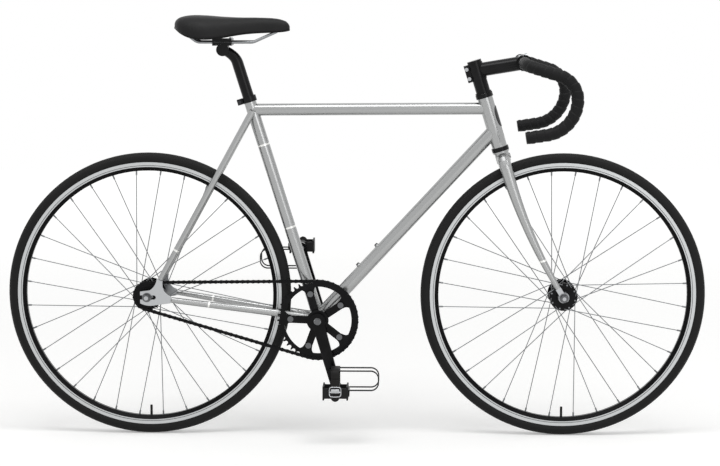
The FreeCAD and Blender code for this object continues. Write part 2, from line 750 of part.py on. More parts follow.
# Cog with its hub, and the lockring outside it, both on the thread of the rear hub
def make_cog():
    bore = rod(REAR_AXLE - LEFT * (CHAINLINE + OVERRUN * 2), REAR_AXLE, REAR_THREAD_R + SLIDE_FIT)
    teeth = toothed_disc(REAR_AXLE, COG_TEETH, COG_PITCH_R, COG_PHASE)
    inner = REAR_AXLE - LEFT * (FLANGE_SPACING / 2 + FLANGE_THICK / 2 + SPOKE_R * 2 + SEAT_GAP)
    outer = REAR_AXLE + CHAIN_PLANE - LEFT * (TOOTH_THICK / 2)
    cog = teeth.fuse(rod(inner, outer, LOCKRING_R)).cut(bore)
    lockring = rod(outer, outer - LEFT * LOCKRING_THICK, LOCKRING_R).cut(bore)
    return Part.makeCompound([cog, lockring])


# Chainring, thinned to a rim with a tab at each bolt
RING_FACE = CHAINLINE + TOOTH_THICK / 2
CRANK_LINE = leaning(CRANK_ANGLE)
TAB_EDGE = 2.0


def spider_lines():
    first = CRANK_ANGLE + FULL_TURN / SPIDER_ARMS / 2
    return [leaning(first + FULL_TURN / SPIDER_ARMS * arm) for arm in range(SPIDER_ARMS)]


def ring_bolt_hole(line):
    place = BOTTOM_BRACKET + line * BOLT_CIRCLE_R
    return rod(place, place - LEFT * (CHAINLINE + SPIDER_THICK + OVERRUN * 2), RING_BOLT_R + SLIDE_FIT)


def tab_shoulders(line):
    """The two concave shoulders by which a bolt tab widens into the ring."""
    middle = BOTTOM_BRACKET + CHAIN_PLANE
    across = line.cross(LEFT)
    aside = (SPIDER_ARM_WIDTH + TAB_EDGE) / 2 + TAB_SHOULDER_R
    inner = middle + line * (RING_INNER_R - TAB_SHOULDER_R)
    outer = middle + line * (RING_INNER_R + TAB_EDGE)
    body = bar_block(inner, outer, LEFT, TOOTH_THICK, 2 * aside)
    centres = [inner + across * (side * aside) for side in SIDES]
    through = LEFT * TOOTH_THICK
    return body.cut([rod(centre - through, centre + through, TAB_SHOULDER_R) for centre in centres])


def make_chainring():
    disc = toothed_disc(BOTTOM_BRACKET, RING_TEETH, RING_PITCH_R, RING_PHASE)
    opening = rod(BOTTOM_BRACKET, BOTTOM_BRACKET - LEFT * (RING_FACE + OVERRUN), RING_INNER_R)
    shapes = [disc.cut(opening)]
    tab_r = SPIDER_ARM_WIDTH / 2
    for line in spider_lines():
        bolt = BOTTOM_BRACKET + CHAIN_PLANE + line * BOLT_CIRCLE_R
        root = BOTTOM_BRACKET + CHAIN_PLANE + line * (RING_INNER_R + TAB_EDGE)
        half = LEFT * (TOOTH_THICK / 2)
        shapes.append(rod(bolt - half, bolt + half, tab_r))
        shapes.append(bar_block(bolt, root, LEFT, TOOTH_THICK, SPIDER_ARM_WIDTH + TAB_EDGE))
        shapes.append(tab_shoulders(line))
    return merged(shapes).cut([ring_bolt_hole(line) for line in spider_lines()])


# Cranks: the right one carries the five-arm spider
def make_crank(side, line):
    inner = LEFT * (side * CRANK_INNER_FACE)
    outer = LEFT * (side * (CRANK_INNER_FACE + CRANK_THICK))
    eye = BOTTOM_BRACKET + line * CRANK_LENGTH
    across = line.cross(LEFT)
    corners = [
        BOTTOM_BRACKET + inner - across * (CRANK_ROOT_WIDTH / 2),
        BOTTOM_BRACKET + inner + across * (CRANK_ROOT_WIDTH / 2),
        eye + inner + across * (CRANK_TIP_WIDTH / 2),
        eye + inner - across * (CRANK_TIP_WIDTH / 2),
    ]
    arm = Part.Face(Part.makePolygon(corners + corners[:1])).extrude(outer - inner)
    faces_out = [edge for edge in arm.Edges if abs(edge.CenterOfMass.y - outer.y) < SLIDE_FIT]
    arm = arm.makeChamfer(CRANK_CHAMFER, [edge for edge in faces_out if edge.Length > CRANK_LENGTH / 2])
    boss_inner = LEFT * (side * (CRANK_INNER_FACE - CRANK_BOSS_DEPTH))
    shapes = [arm, rod(BOTTOM_BRACKET + boss_inner, BOTTOM_BRACKET + outer, CRANK_BOSS_R)]
    shapes.append(rod(eye + inner, eye + outer, CRANK_EYE_R))
    overrun = LEFT * (side * OVERRUN)
    bores = [rod(BOTTOM_BRACKET, BOTTOM_BRACKET + outer + overrun, BB_SPINDLE_R + SLIDE_FIT)]
    bores.append(rod(eye + inner - overrun, eye + outer + overrun, PEDAL_SPINDLE_R + SLIDE_FIT))
    return shapes, bores


def make_right_crank():
    shapes, bores = make_crank(-1, CRANK_LINE)
    inner = LEFT * -RING_FACE
    outer = LEFT * -(RING_FACE + SPIDER_THICK)
    middle = (inner + outer) * (1 / 2)
    shapes.append(rod(BOTTOM_BRACKET + inner, BOTTOM_BRACKET + LEFT * -CRANK_INNER_FACE, SPIDER_HUB_R))
    for line in spider_lines():
        bolt = BOTTOM_BRACKET + line * BOLT_CIRCLE_R
        shapes.append(bar_block(BOTTOM_BRACKET + middle, bolt + middle, LEFT, SPIDER_THICK, SPIDER_ARM_WIDTH))
        shapes.append(rod(bolt + inner, bolt + outer, SPIDER_ARM_WIDTH / 2))
    return merged(shapes).cut(bores + [ring_bolt_hole(line) for line in spider_lines()])


def make_left_crank():
    shapes, bores = make_crank(1, CRANK_LINE * -1)
    return merged(shapes).cut(bores)


SPINDLE_END = CRANK_INNER_FACE + CRANK_THICK - CRANK_BOLT_DEPTH


def make_crankset_bolts():
    bolts = []
    for line in spider_lines():
        place = BOTTOM_BRACKET + line * BOLT_CIRCLE_R
        inner = place - LEFT * (CHAINLINE - TOOTH_THICK / 2)
        outer = place - LEFT * (RING_FACE + SPIDER_THICK)
        head = LEFT * RING_BOLT_HEAD_THICK
        bolts.append(merged([
            rod(inner, outer, RING_BOLT_R),
            rod(inner + head, inner, RING_BOLT_HEAD_R),
            rod(outer, outer - head, RING_BOLT_HEAD_R),
        ]))
    for side in SIDES:
        start = BOTTOM_BRACKET + LEFT * (side * SPINDLE_END)
        bolts.append(rod(start, start + LEFT * (side * (CRANK_BOLT_DEPTH + CRANK_BOLT_HEAD)), CRANK_BOLT_R))
    return Part.makeCompound(bolts)


# Bottom bracket: shell, two flanged cups and the spindle that turns in them
SHELL_BORE_R = BB_SHELL_R - BB_SHELL_WALL


def make_bb_shell():
    half = LEFT * (BB_SHELL_LENGTH / 2)
    return hollow(BOTTOM_BRACKET - half, BOTTOM_BRACKET + half, BB_SHELL_R, SHELL_BORE_R)


def make_bb_cups():
    cups = []
    for side in SIDES:
        face = BOTTOM_BRACKET + LEFT * (side * BB_SHELL_LENGTH / 2)
        deep = face - LEFT * (side * BB_CUP_DEPTH)
        flange = face + LEFT * (side * BB_CUP_FLANGE)
        bore = rod(BOTTOM_BRACKET, flange + LEFT * (side * OVERRUN), BB_SPINDLE_R + SLIDE_FIT)
        barrel = rod(deep, face, SHELL_BORE_R - SLIDE_FIT)
        cups.append(barrel.fuse(rod(face, flange, BB_CUP_FLANGE_R)).cut(bore))
    return Part.makeCompound(cups)


def make_bb_spindle():
    reach = LEFT * SPINDLE_END
    return rod(BOTTOM_BRACKET - reach, BOTTOM_BRACKET + reach, BB_SPINDLE_R)


save("chain", make_chain())
save("rear_cog", make_cog())
save("chainring", make_chainring())
save("crank_right", make_right_crank())
save("crank_left", make_left_crank())
save("crankset_bolts", make_crankset_bolts())
save("bottom_bracket_shell", make_bb_shell())
save("bottom_bracket_cups", make_bb_cups())
save("bottom_bracket_spindle", make_bb_spindle())

# Pedals, drawn for the right side about their own axle; the left hangs with its clip below
PEDAL_INNER = CRANK_INNER_FACE + CRANK_THICK + PEDAL_GAP
PEDAL_OUTER = PEDAL_INNER + PEDAL_WIDTH
PEDAL_MIDDLE = (PEDAL_INNER + PEDAL_OUTER) / 2


def on_pedal(shape, side):
    if side < 0:
        return moved(shape, BOTTOM_BRACKET + CRANK_LINE * CRANK_LENGTH)
    return moved(turned_about_wheel(mirrored(shape), HALF_TURN), BOTTOM_BRACKET - CRANK_LINE * CRANK_LENGTH)


def make_pedal_spindle():
    arm_outer = CRANK_INNER_FACE + CRANK_THICK
    core = rod(LEFT * -CRANK_INNER_FACE, LEFT * (PEDAL_PLATE_THICK * 2 - PEDAL_OUTER), PEDAL_SPINDLE_R)
    collar = rod(LEFT * -arm_outer, LEFT * -(arm_outer + PEDAL_COLLAR), PEDAL_COLLAR_R)
    return core.fuse(collar)


def make_pedal_body():
    half_length = PEDAL_LENGTH / 2
    plate_half = PEDAL_PLATE_HEIGHT / 2
    rail_half = PEDAL_RAIL_HEIGHT / 2
    shapes = [rod(LEFT * -PEDAL_INNER, LEFT * -PEDAL_OUTER, PEDAL_BARREL_R)]
    for outer in (PEDAL_INNER + PEDAL_PLATE_THICK, PEDAL_OUTER):
        inner = outer - PEDAL_PLATE_THICK
        shapes.append(block(at(-half_length, -outer, -plate_half), at(half_length, -inner, plate_half)))
    for rear in (-half_length, half_length - PEDAL_RAIL_THICK):
        low = at(rear, -PEDAL_OUTER, -rail_half)
        shapes.append(block(low, at(rear + PEDAL_RAIL_THICK, -PEDAL_INNER, rail_half)))
    inner_end = LEFT * -(PEDAL_INNER - OVERRUN)
    outer_end = LEFT * -(PEDAL_OUTER - PEDAL_PLATE_THICK)
    bore = rod(inner_end, outer_end, PEDAL_SPINDLE_R + SLIDE_FIT)
    return merged(shapes).cut(bore)


CLIP_TOP = CLIP_BASE_HEIGHT + CLIP_HEIGHT
CLIP_FOOT = PEDAL_LENGTH / 2 + SLIDE_FIT
CLIP_END = -(STRAP_WIDTH / 2 + CLIP_BACK)


def make_toe_clip():
    nose = CLIP_FOOT + CLIP_REACH
    half_span = CLIP_STRIP_SPACING / 2 + CLIP_STRIP_WIDTH / 2
    thick = CLIP_STRIP_THICK / 2
    foot_low = at(CLIP_FOOT, -PEDAL_MIDDLE - half_span, CLIP_BASE_HEIGHT + thick - CLIP_FOOT_HEIGHT)
    foot = block(foot_low, at(CLIP_FOOT + CLIP_BAR_THICK, half_span - PEDAL_MIDDLE, CLIP_BASE_HEIGHT + thick))
    bar_low = at(CLIP_END, -PEDAL_MIDDLE - half_span, CLIP_TOP - thick)
    bar = block(bar_low, at(CLIP_END + CLIP_BAR_THICK, half_span - PEDAL_MIDDLE, CLIP_TOP + thick))
    shapes = [foot, bar]
    for side in SIDES:
        strip_y = side * CLIP_STRIP_SPACING / 2 - PEDAL_MIDDLE
        base = [(CLIP_FOOT, CLIP_BASE_HEIGHT), (nose, CLIP_BASE_HEIGHT)]
        corners = base + [(nose, CLIP_TOP), (CLIP_END, CLIP_TOP)]
        path = rounded_path([at(x, strip_y, z) for x, z in corners], CLIP_BEND_R)
        half = CLIP_STRIP_WIDTH / 2
        low = CLIP_BASE_HEIGHT - thick
        high = CLIP_BASE_HEIGHT + thick
        section = [(-half, low), (half, low), (half, high), (-half, high), (-half, low)]
        profile = Part.makePolygon([at(CLIP_FOOT, strip_y + y, z) for y, z in section])
        shapes.append(swept(path, profile))
    return merged(shapes)


def strap_loop(half_span, low, high, bend_r):
    corners = [(0, low), (half_span, low), (half_span, high), (-half_span, high), (-half_span, low), (0, low)]
    return rounded_path([at(-STRAP_WIDTH / 2, y - PEDAL_MIDDLE, z) for y, z in corners], bend_r)


def make_toe_strap():
    half_span = PEDAL_WIDTH / 2 + STRAP_SIDE_GAP
    low = PEDAL_PLATE_HEIGHT / 2 + SEAT_GAP
    high = CLIP_TOP + CLIP_STRIP_THICK / 2 + SEAT_GAP + STRAP_THICK
    outside = strap_loop(half_span + STRAP_THICK, low, high, STRAP_BEND_R)
    inside = strap_loop(half_span, low + STRAP_THICK, high - STRAP_THICK, STRAP_BEND_R - STRAP_THICK)
    band = Part.Face([outside, inside]).extrude(FORE * STRAP_WIDTH)
    tail_y = -PEDAL_MIDDLE - half_span - STRAP_THICK
    tail_top = (low + high) / 2
    tail_half = STRAP_WIDTH / 2
    tail = block(at(-tail_half, tail_y - STRAP_THICK, tail_top - STRAP_TAIL), at(tail_half, tail_y, tail_top))
    return band.fuse(tail)


save("pedal_spindles", on_pedal(make_pedal_spindle(), -1), on_pedal(make_pedal_spindle(), 1))
for side, name in zip(SIDES, ("right", "left")):
    save("pedal_body_" + name, on_pedal(make_pedal_body(), side))
    save("toe_clip_" + name, on_pedal(make_toe_clip(), side))
    save("toe_strap_" + name, on_pedal(make_toe_strap(), side))

# Frame tubes, each mitred to its neighbours
SEAT_TUBE_R = POST_R + SLIDE_FIT + SEAT_TUBE_WALL
HEAD_BORE_R = STEERER_R + STEERER_CLEARANCE + CUP_INSERT_WALL + SLIDE_FIT
HEAD_TUBE_R = HEAD_BORE_R + HEAD_TUBE_WALL
TOP_TUBE_REAR = SEAT_TOP - SEAT_UP * TOP_TUBE_BELOW_SEAT
TOP_TUBE_FRONT = steer_at(HEAD_HIGH - TOP_TUBE_BELOW_HEAD)
DOWN_TUBE_FRONT = steer_at(HEAD_LOW + DOWN_TUBE_ABOVE_HEAD)
DOWN_LINE = (DOWN_TUBE_FRONT - BOTTOM_BRACKET).normalize()
DOWN_OUT = LEFT.cross(DOWN_LINE) * -1


def shell_mitre():
    half = LEFT * (BB_SHELL_LENGTH / 2 + OVERRUN)
    return rod(BOTTOM_BRACKET - half, BOTTOM_BRACKET + half, BB_SHELL_R + MITRE_GAP)


def seat_mitre():
    return rod(BOTTOM_BRACKET, SEAT_TOP + SEAT_UP * OVERRUN, SEAT_TUBE_R + MITRE_GAP)


def head_mitre():
    return rod(steer_at(HEAD_LOW - OVERRUN), steer_at(HEAD_HIGH + OVERRUN), HEAD_TUBE_R + MITRE_GAP)


def make_head_tube():
    return hollow(steer_at(HEAD_LOW), steer_at(HEAD_HIGH), HEAD_TUBE_R, HEAD_BORE_R)


def make_top_tube():
    tube = hollow(TOP_TUBE_REAR, TOP_TUBE_FRONT, TOP_TUBE_R, TOP_TUBE_R - TUBE_WALL_THICK)
    return tube.cut([seat_mitre(), head_mitre()])


def make_seat_tube():
    return hollow(BOTTOM_BRACKET, SEAT_TOP, SEAT_TUBE_R, POST_R + SLIDE_FIT).cut(shell_mitre())


def boss_places():
    places = [BOSS_FIRST, BOSS_FIRST + BOSS_PITCH]
    return [BOTTOM_BRACKET + DOWN_LINE * place + DOWN_OUT * DOWN_TUBE_R for place in places]


def make_down_tube():
    skin = [rod(BOTTOM_BRACKET, DOWN_TUBE_FRONT, DOWN_TUBE_R)]
    for place in boss_places():
        skin.append(rod(place - DOWN_OUT * TUBE_WALL_THICK, place + DOWN_OUT * BOSS_HEIGHT, BOSS_R))
    along = DOWN_LINE * OVERRUN
    bore = rod(BOTTOM_BRACKET - along, DOWN_TUBE_FRONT + along, DOWN_TUBE_R - TUBE_WALL_THICK)
    holes = [rod(place - DOWN_OUT * DOWN_TUBE_R, place + DOWN_OUT * OVERRUN, BOSS_SCREW_R + SLIDE_FIT)
             for place in boss_places()]
    return merged(skin).cut([bore, shell_mitre(), seat_mitre(), head_mitre()] + holes)


# Rear track ends: plates with a slot open to the rear and a lug for each stay
TRACK_END_Y = REAR_AXLE_SPACING / 2 + TRACK_END_THICK / 2
JAW_TOP_SHARES = ((-0.27, 0.24), (0.12, 0.29))
STAY_HOLLOW_SHARE = (0.31, 0.47)
SEATSTAY_LUG_SHARES = ((0.42, 0.76), (0.66, 0.66))
SCOOP_SHARE = (0.68, 0.30)
CHAINSTAY_LUG_SHARES = ((1.0, 0.03), (0.97, -0.24))
JAW_FOOT_SHARES = ((0.35, -0.32), (-0.27, -0.24))
JAW_BELLY_SHARE = (0.03, -0.335)


def track_end_point(share):
    return REAR_AXLE + at(share[0] * TRACK_END_LENGTH, 0, share[1] * TRACK_END_LENGTH)


def lug_centre(shares):
    return (track_end_point(shares[0]) + track_end_point(shares[1])) * (1 / 2)


def make_track_ends():
    top = [track_end_point(share) for share in JAW_TOP_SHARES]
    seat_lug = [track_end_point(share) for share in SEATSTAY_LUG_SHARES]
    chain_lug = [track_end_point(share) for share in CHAINSTAY_LUG_SHARES]
    foot = [track_end_point(share) for share in JAW_FOOT_SHARES]
    outline = [
        Part.LineSegment(top[0], top[1]).toShape(),
        Part.Arc(top[1], track_end_point(STAY_HOLLOW_SHARE), seat_lug[0]).toShape(),
        Part.LineSegment(seat_lug[0], seat_lug[1]).toShape(),
        Part.Arc(seat_lug[1], track_end_point(SCOOP_SHARE), chain_lug[0]).toShape(),
        Part.LineSegment(chain_lug[0], chain_lug[1]).toShape(),
        Part.LineSegment(chain_lug[1], foot[0]).toShape(),
        Part.Arc(foot[0], track_end_point(JAW_BELLY_SHARE), foot[1]).toShape(),
        Part.LineSegment(foot[1], top[0]).toShape(),
    ]
    plate = Part.Face(Part.Wire(outline)).extrude(LEFT * TRACK_END_THICK)
    slot_r = REAR_AXLE_R + TRACK_SLOT_GAP
    slot_end = REAR_AXLE + FORE * (TRACK_SLOT_AHEAD - slot_r)
    low = at(REAR_AXLE.x - TRACK_END_LENGTH, -OVERRUN, REAR_AXLE.z - slot_r)
    slot = [block(low, slot_end + at(0, TRACK_END_THICK + OVERRUN, slot_r))]
    slot.append(rod(slot_end - LEFT * OVERRUN, slot_end + LEFT * (TRACK_END_THICK + OVERRUN), slot_r))
    left = moved(plate.cut(slot), LEFT * (REAR_AXLE_SPACING / 2))
    return Part.makeCompound([mirrored(left), left])


# Stays, drawn as a left and right pair with a bridge ahead of or above the tyre
def reach_point(start, end, distance):
    """The point on a line in the middle plane that lies this far from the rear axle."""
    line = (end - start).normalize()
    away = start - REAR_AXLE
    along = away.dot(line)
    return start + line * (-along - math.sqrt(along ** 2 - away.Length ** 2 + distance ** 2))


def stay_pair(centres, radii, bridge):
    skins = []
    cores = []
    for side in SIDES:
        line = [point + LEFT * (side * sideways) for point, sideways in centres]
        skins.append(tapered(line, radii))
        cores.append(tapered(line, [radius - STAY_WALL for radius in radii]))
    return merged(skins + [bridge]).cut(cores)


def bridge_at(point, sideways):
    return rod(point - LEFT * sideways, point + LEFT * sideways, STAY_BRIDGE_R)


SEATSTAY_TOP = SEAT_TOP - SEAT_UP * SEATSTAY_BELOW_SEAT
SEATSTAY_LUG = lug_centre(SEATSTAY_LUG_SHARES)
SEATSTAY_LINE = (SEATSTAY_LUG - SEATSTAY_TOP).normalize()
SEAT_BRIDGE = reach_point(SEATSTAY_TOP, SEATSTAY_LUG, AXLE_HEIGHT + BRIDGE_CLEARANCE)


def make_seatstays():
    end = SEATSTAY_LUG - SEATSTAY_LINE * STAY_END_GAP
    share = (SEAT_BRIDGE - SEATSTAY_TOP).Length / (end - SEATSTAY_TOP).Length
    sideways = SEATSTAY_TOP_OFFSET + (TRACK_END_Y - SEATSTAY_TOP_OFFSET) * share
    bridge = bridge_at(SEAT_BRIDGE, sideways)
    centres = [(SEATSTAY_TOP, SEATSTAY_TOP_OFFSET), (end, TRACK_END_Y)]
    pair = stay_pair(centres, [SEATSTAY_TOP_R, SEATSTAY_END_R], bridge)
    across = SEATSTAY_LINE.cross(LEFT) * (STAY_BRIDGE_R + OVERRUN)
    return pair.cut([seat_mitre(), rod(SEAT_BRIDGE - across, SEAT_BRIDGE + across, BRAKE_HOLE_R)])


CHAINSTAY_LUG = lug_centre(CHAINSTAY_LUG_SHARES)


def make_chainstays():
    line = (CHAINSTAY_LUG - BOTTOM_BRACKET).normalize()
    end = CHAINSTAY_LUG - line * STAY_END_GAP
    waist = BOTTOM_BRACKET + line * CHAINSTAY_WAIST_AT
    middle = (waist + end) * (1 / 2)
    middle_y = (CHAINSTAY_WAIST_OFFSET + TRACK_END_Y) / 2
    middle_r = (CHAINSTAY_ROOT_R + CHAINSTAY_END_R) / 2
    centres = [(BOTTOM_BRACKET, CHAINSTAY_ROOT_OFFSET), (waist, CHAINSTAY_WAIST_OFFSET), (middle, middle_y),
               (end, TRACK_END_Y)]
    radii = [CHAINSTAY_ROOT_R, CHAINSTAY_ROOT_R, middle_r, CHAINSTAY_END_R]
    bridge_point = reach_point(BOTTOM_BRACKET, CHAINSTAY_LUG, AXLE_HEIGHT + BRIDGE_CLEARANCE)
    bridge = bridge_at(bridge_point, CHAINSTAY_ROOT_OFFSET)
    return stay_pair(centres, radii, bridge).cut(shell_mitre())


# Seat collar with its ears behind the post, and the small bolts of the frame
COLLAR_BORE_R = SEAT_TUBE_R + SLIDE_FIT
COLLAR_MIDDLE = SEAT_TOP - SEAT_UP * (COLLAR_HEIGHT / 2)
COLLAR_BOLT_LINE = COLLAR_MIDDLE + SEAT_BACK * (COLLAR_BORE_R + COLLAR_WALL + COLLAR_EAR_LENGTH / 2)


def make_seat_collar():
    low = SEAT_TOP - SEAT_UP * COLLAR_HEIGHT
    ear_end = COLLAR_MIDDLE + SEAT_BACK * (COLLAR_BORE_R + COLLAR_WALL + COLLAR_EAR_LENGTH)
    slit_end = ear_end + SEAT_BACK * OVERRUN
    body = rod(low, SEAT_TOP, COLLAR_BORE_R + COLLAR_WALL)
    body = body.fuse(bar_block(COLLAR_MIDDLE, ear_end, LEFT, COLLAR_EAR_WIDTH, COLLAR_HEIGHT))
    cuts = [rod(low - SEAT_UP * OVERRUN, SEAT_TOP + SEAT_UP * OVERRUN, COLLAR_BORE_R)]
    cuts.append(bar_block(COLLAR_MIDDLE, slit_end, LEFT, COLLAR_SLIT, COLLAR_HEIGHT + OVERRUN))
    reach = LEFT * (COLLAR_EAR_WIDTH / 2 + OVERRUN)
    cuts.append(rod(COLLAR_BOLT_LINE - reach, COLLAR_BOLT_LINE + reach, COLLAR_BOLT_R + SLIDE_FIT))
    return body.cut(cuts)


def make_frame_bolts():
    ear = LEFT * (COLLAR_EAR_WIDTH / 2)
    head = LEFT * COLLAR_BOLT_HEAD
    bolts = [merged([
        rod(COLLAR_BOLT_LINE - ear, COLLAR_BOLT_LINE + ear, COLLAR_BOLT_R),
        rod(COLLAR_BOLT_LINE - ear - head, COLLAR_BOLT_LINE - ear, COLLAR_BOLT_HEAD_R),
    ])]
    for place in boss_places():
        top = place + DOWN_OUT * BOSS_HEIGHT
        shank = rod(place - DOWN_OUT * BOSS_R, top, BOSS_SCREW_R)
        bolts.append(shank.fuse(rod(top, top + DOWN_OUT * BOSS_SCREW_HEAD, BOSS_SCREW_HEAD_R)))
    return Part.makeCompound(bolts)


save("head_tube", make_head_tube())
save("top_tube", make_top_tube())
save("seat_tube", make_seat_tube())
save("down_tube", make_down_tube())
save("rear_dropouts", make_track_ends())
save("seatstays", make_seatstays())
save("chainstays", make_chainstays())
save("seat_collar", make_seat_collar())
save("frame_bolts", make_frame_bolts())

# Fork: steerer with its crown and race, two raked blades and the slotted tips
CROWN_R = STEERER_R + CROWN_WALL
CUP_POCKET_R = STEERER_R + SLIDE_FIT + HEADSET_BEARING_WIDTH + SLIDE_FIT
CUP_R = CUP_POCKET_R + CUP_WALL
CROWN_MIDDLE = FORK_LENGTH - CROWN_HEIGHT / 2
BRAKE_HOLE_REACH = STEER_FORE * (CROWN_R + CROWN_BOSS_HEIGHT + OVERRUN)


def make_fork_steerer():
    crown_low = steer_at(FORK_LENGTH - CROWN_HEIGHT)
    crown_top = steer_at(FORK_LENGTH)
    race_top = steer_at(HEAD_LOW - CUP_HEIGHT - SEAT_GAP)
    top = steer_at(STEM_TOP - STEERER_CLEARANCE)
    middle = steer_at(CROWN_MIDDLE)
    solid = merged([
        rod(crown_low, crown_top, CROWN_R),
        rod(crown_top, race_top, CUP_R - CUP_WALL / 2),
        rod(crown_top, top, STEERER_R),
        rod(middle, middle + STEER_FORE * (CROWN_R + CROWN_BOSS_HEIGHT), CROWN_BOSS_R),
    ])
    bore = rod(crown_top, top + STEER_UP * OVERRUN, STEERER_R - STEERER_WALL)
    return solid.cut([bore, rod(middle - BRAKE_HOLE_REACH, middle + BRAKE_HOLE_REACH, BRAKE_HOLE_R)])


BLADE_BEND_FOOT = CROWN_MIDDLE - BLADE_BEND_R
BLADE_STATIONS = 12
BEND_STATIONS = 5
TIP_Y = FRONT_AXLE_SPACING / 2 + FORK_TIP_THICK / 2


def blade_offset(height):
    """How far the blade has curved forward of the steering axis at a height along it."""
    return FORK_RAKE * (max(BLADE_CURVE_START - height, 0) / BLADE_CURVE_START) ** 2


def blade_stations():
    """Centre, fore-aft direction and size share down one blade, from the crown to the tip."""
    stations = []
    for index in range(BEND_STATIONS):
        turn = math.pi / 2 * (1 - index / BEND_STATIONS)
        height = BLADE_BEND_FOOT + BLADE_BEND_R * math.sin(turn)
        sideways = BLADE_TOP_OFFSET - BLADE_BEND_R * (1 - math.cos(turn))
        stations.append((steer_at(height) + LEFT * sideways, STEER_FORE, 1.0))
    span = BLADE_BEND_FOOT - BLADE_END_ABOVE
    for index in range(BLADE_STATIONS + 1):
        share = 1 - index / BLADE_STATIONS
        height = BLADE_END_ABOVE + span * share
        centre = steer_at(height) + STEER_FORE * blade_offset(height)
        sideways = TIP_Y + (BLADE_TOP_OFFSET - TIP_Y) * share
        slope = 2 * FORK_RAKE * max(BLADE_CURVE_START - height, 0) / BLADE_CURVE_START ** 2
        stations.append((centre + LEFT * sideways, (STEER_FORE + STEER_UP * slope).normalize(), share))
    return stations


def blade_loft(wall):
    stations = blade_stations()
    last = len(stations) - 1
    rings = []
    for index, (centre, fore, share) in enumerate(stations):
        along = stations[min(index + 1, last)][0] - stations[max(index - 1, 0)][0]
        across = along.cross(fore).normalize()
        long_r = BLADE_TIP_R + (BLADE_ROOT_R - BLADE_TIP_R) * share
        short_r = long_r * (1 - (1 - BLADE_ASPECT_SHARE) * max(share, BLADE_TIP_FLAT_SHARE))
        ellipse = Part.Ellipse(centre + fore * (long_r - wall), centre + across * (short_r - wall), centre)
        rings.append(Part.Wire(ellipse.toShape()))
    return Part.makeLoft(rings, True, True)


def make_fork_blades():
    crown = rod(steer_at(0), steer_at(HEAD_LOW), CROWN_R + MITRE_GAP)
    left = blade_loft(0).cut([blade_loft(BLADE_WALL), crown])
    return Part.makeCompound([mirrored(left), left])


def make_fork_tips():
    inner = LEFT * (FRONT_AXLE_SPACING / 2)
    thick = LEFT * FORK_TIP_THICK
    end = steer_at(BLADE_END_ABOVE) + STEER_FORE * blade_offset(BLADE_END_ABOVE)
    stop = end - (end - FRONT_AXLE).normalize() * SEAT_GAP
    eye = rod(FRONT_AXLE + inner, FRONT_AXLE + inner + thick, FORK_TIP_WIDTH / 2)
    neck = bar_block(FRONT_AXLE + LEFT * TIP_Y, stop + LEFT * TIP_Y, LEFT, FORK_TIP_THICK, FORK_TIP_NECK)
    slot_r = FRONT_AXLE_R + TRACK_SLOT_GAP
    hole = rod(FRONT_AXLE, FRONT_AXLE + inner + thick + LEFT * OVERRUN, slot_r)
    mouth = FRONT_AXLE - STEER_UP * (FORK_TIP_WIDTH / 2 + OVERRUN)
    slot_thick = FORK_TIP_THICK + OVERRUN
    slot = bar_block(FRONT_AXLE + LEFT * TIP_Y, mouth + LEFT * TIP_Y, LEFT, slot_thick, 2 * slot_r)
    left = eye.fuse(neck).cut([hole, slot])
    return Part.makeCompound([mirrored(left), left])


# Headset: pressed cups with a bearing in each, spacers and the top cap with its bolt
def make_cup(rim, seat, sign):
    """One cup from its outer rim to its seat on the head tube; sign points into the tube."""
    into = STEER_UP * sign
    pocket = steer_at(rim) + into * (HEADSET_BEARING_HEIGHT + SEAT_GAP)
    insert_end = steer_at(seat) + into * CUP_INSERT
    body = rod(steer_at(rim), steer_at(seat), CUP_R)
    body = body.fuse(rod(steer_at(seat), insert_end, HEAD_BORE_R - SLIDE_FIT))
    bore = rod(steer_at(rim) - into * OVERRUN, insert_end + into * OVERRUN, STEERER_R + STEERER_CLEARANCE)
    return body.cut([bore, rod(steer_at(rim) - into * OVERRUN, pocket, CUP_POCKET_R)])


def make_bearing(rim, sign):
    low = steer_at(rim) + STEER_UP * (sign * SEAT_GAP / 2)
    high = low + STEER_UP * (sign * HEADSET_BEARING_HEIGHT)
    return hollow(low, high, CUP_POCKET_R - SLIDE_FIT, STEERER_R + SLIDE_FIT)


def make_spacers():
    bore = STEERER_R + SLIDE_FIT
    cover = hollow(steer_at(HEAD_HIGH + CUP_HEIGHT + SEAT_GAP), steer_at(STACK_TOP), CUP_R - CUP_WALL / 2, bore)
    rings = [cover]
    for index in range(SPACER_COUNT):
        low = STACK_TOP + index * SPACER_HEIGHT
        rings.append(hollow(steer_at(low), steer_at(low + SPACER_HEIGHT), bore + SPACER_WALL, bore))
    return Part.makeCompound(rings)


def make_top_cap():
    plug_low = steer_at(STEM_TOP - 2 * TOP_CAP_HEIGHT)
    cap_top = steer_at(STEM_TOP + TOP_CAP_HEIGHT)
    cap = rod(steer_at(STEM_TOP), cap_top, CROWN_R)
    cap = cap.fuse(rod(plug_low, steer_at(STEM_TOP), STEERER_R - STEERER_WALL - SLIDE_FIT))
    pit = steer_at(STEM_TOP + TOP_CAP_HEIGHT / 2)
    cap = cap.cut(rod(pit, cap_top + STEER_UP * OVERRUN, TOP_CAP_BOLT_R + SEAT_GAP))
    return Part.makeCompound([cap, rod(pit, cap_top, TOP_CAP_BOLT_R)])


LOWER_RIM = HEAD_LOW - CUP_HEIGHT
UPPER_RIM = HEAD_HIGH + CUP_HEIGHT
save("fork_steerer", make_fork_steerer())
save("fork_blades", make_fork_blades())
save("fork_tips", make_fork_tips())
save("headset_cups", make_cup(LOWER_RIM, HEAD_LOW, 1), make_cup(UPPER_RIM, HEAD_HIGH, -1))
save("headset_bearings", make_bearing(LOWER_RIM, 1), make_bearing(UPPER_RIM, -1))
save("headset_spacers", make_spacers())
save("headset_top_cap", make_top_cap())

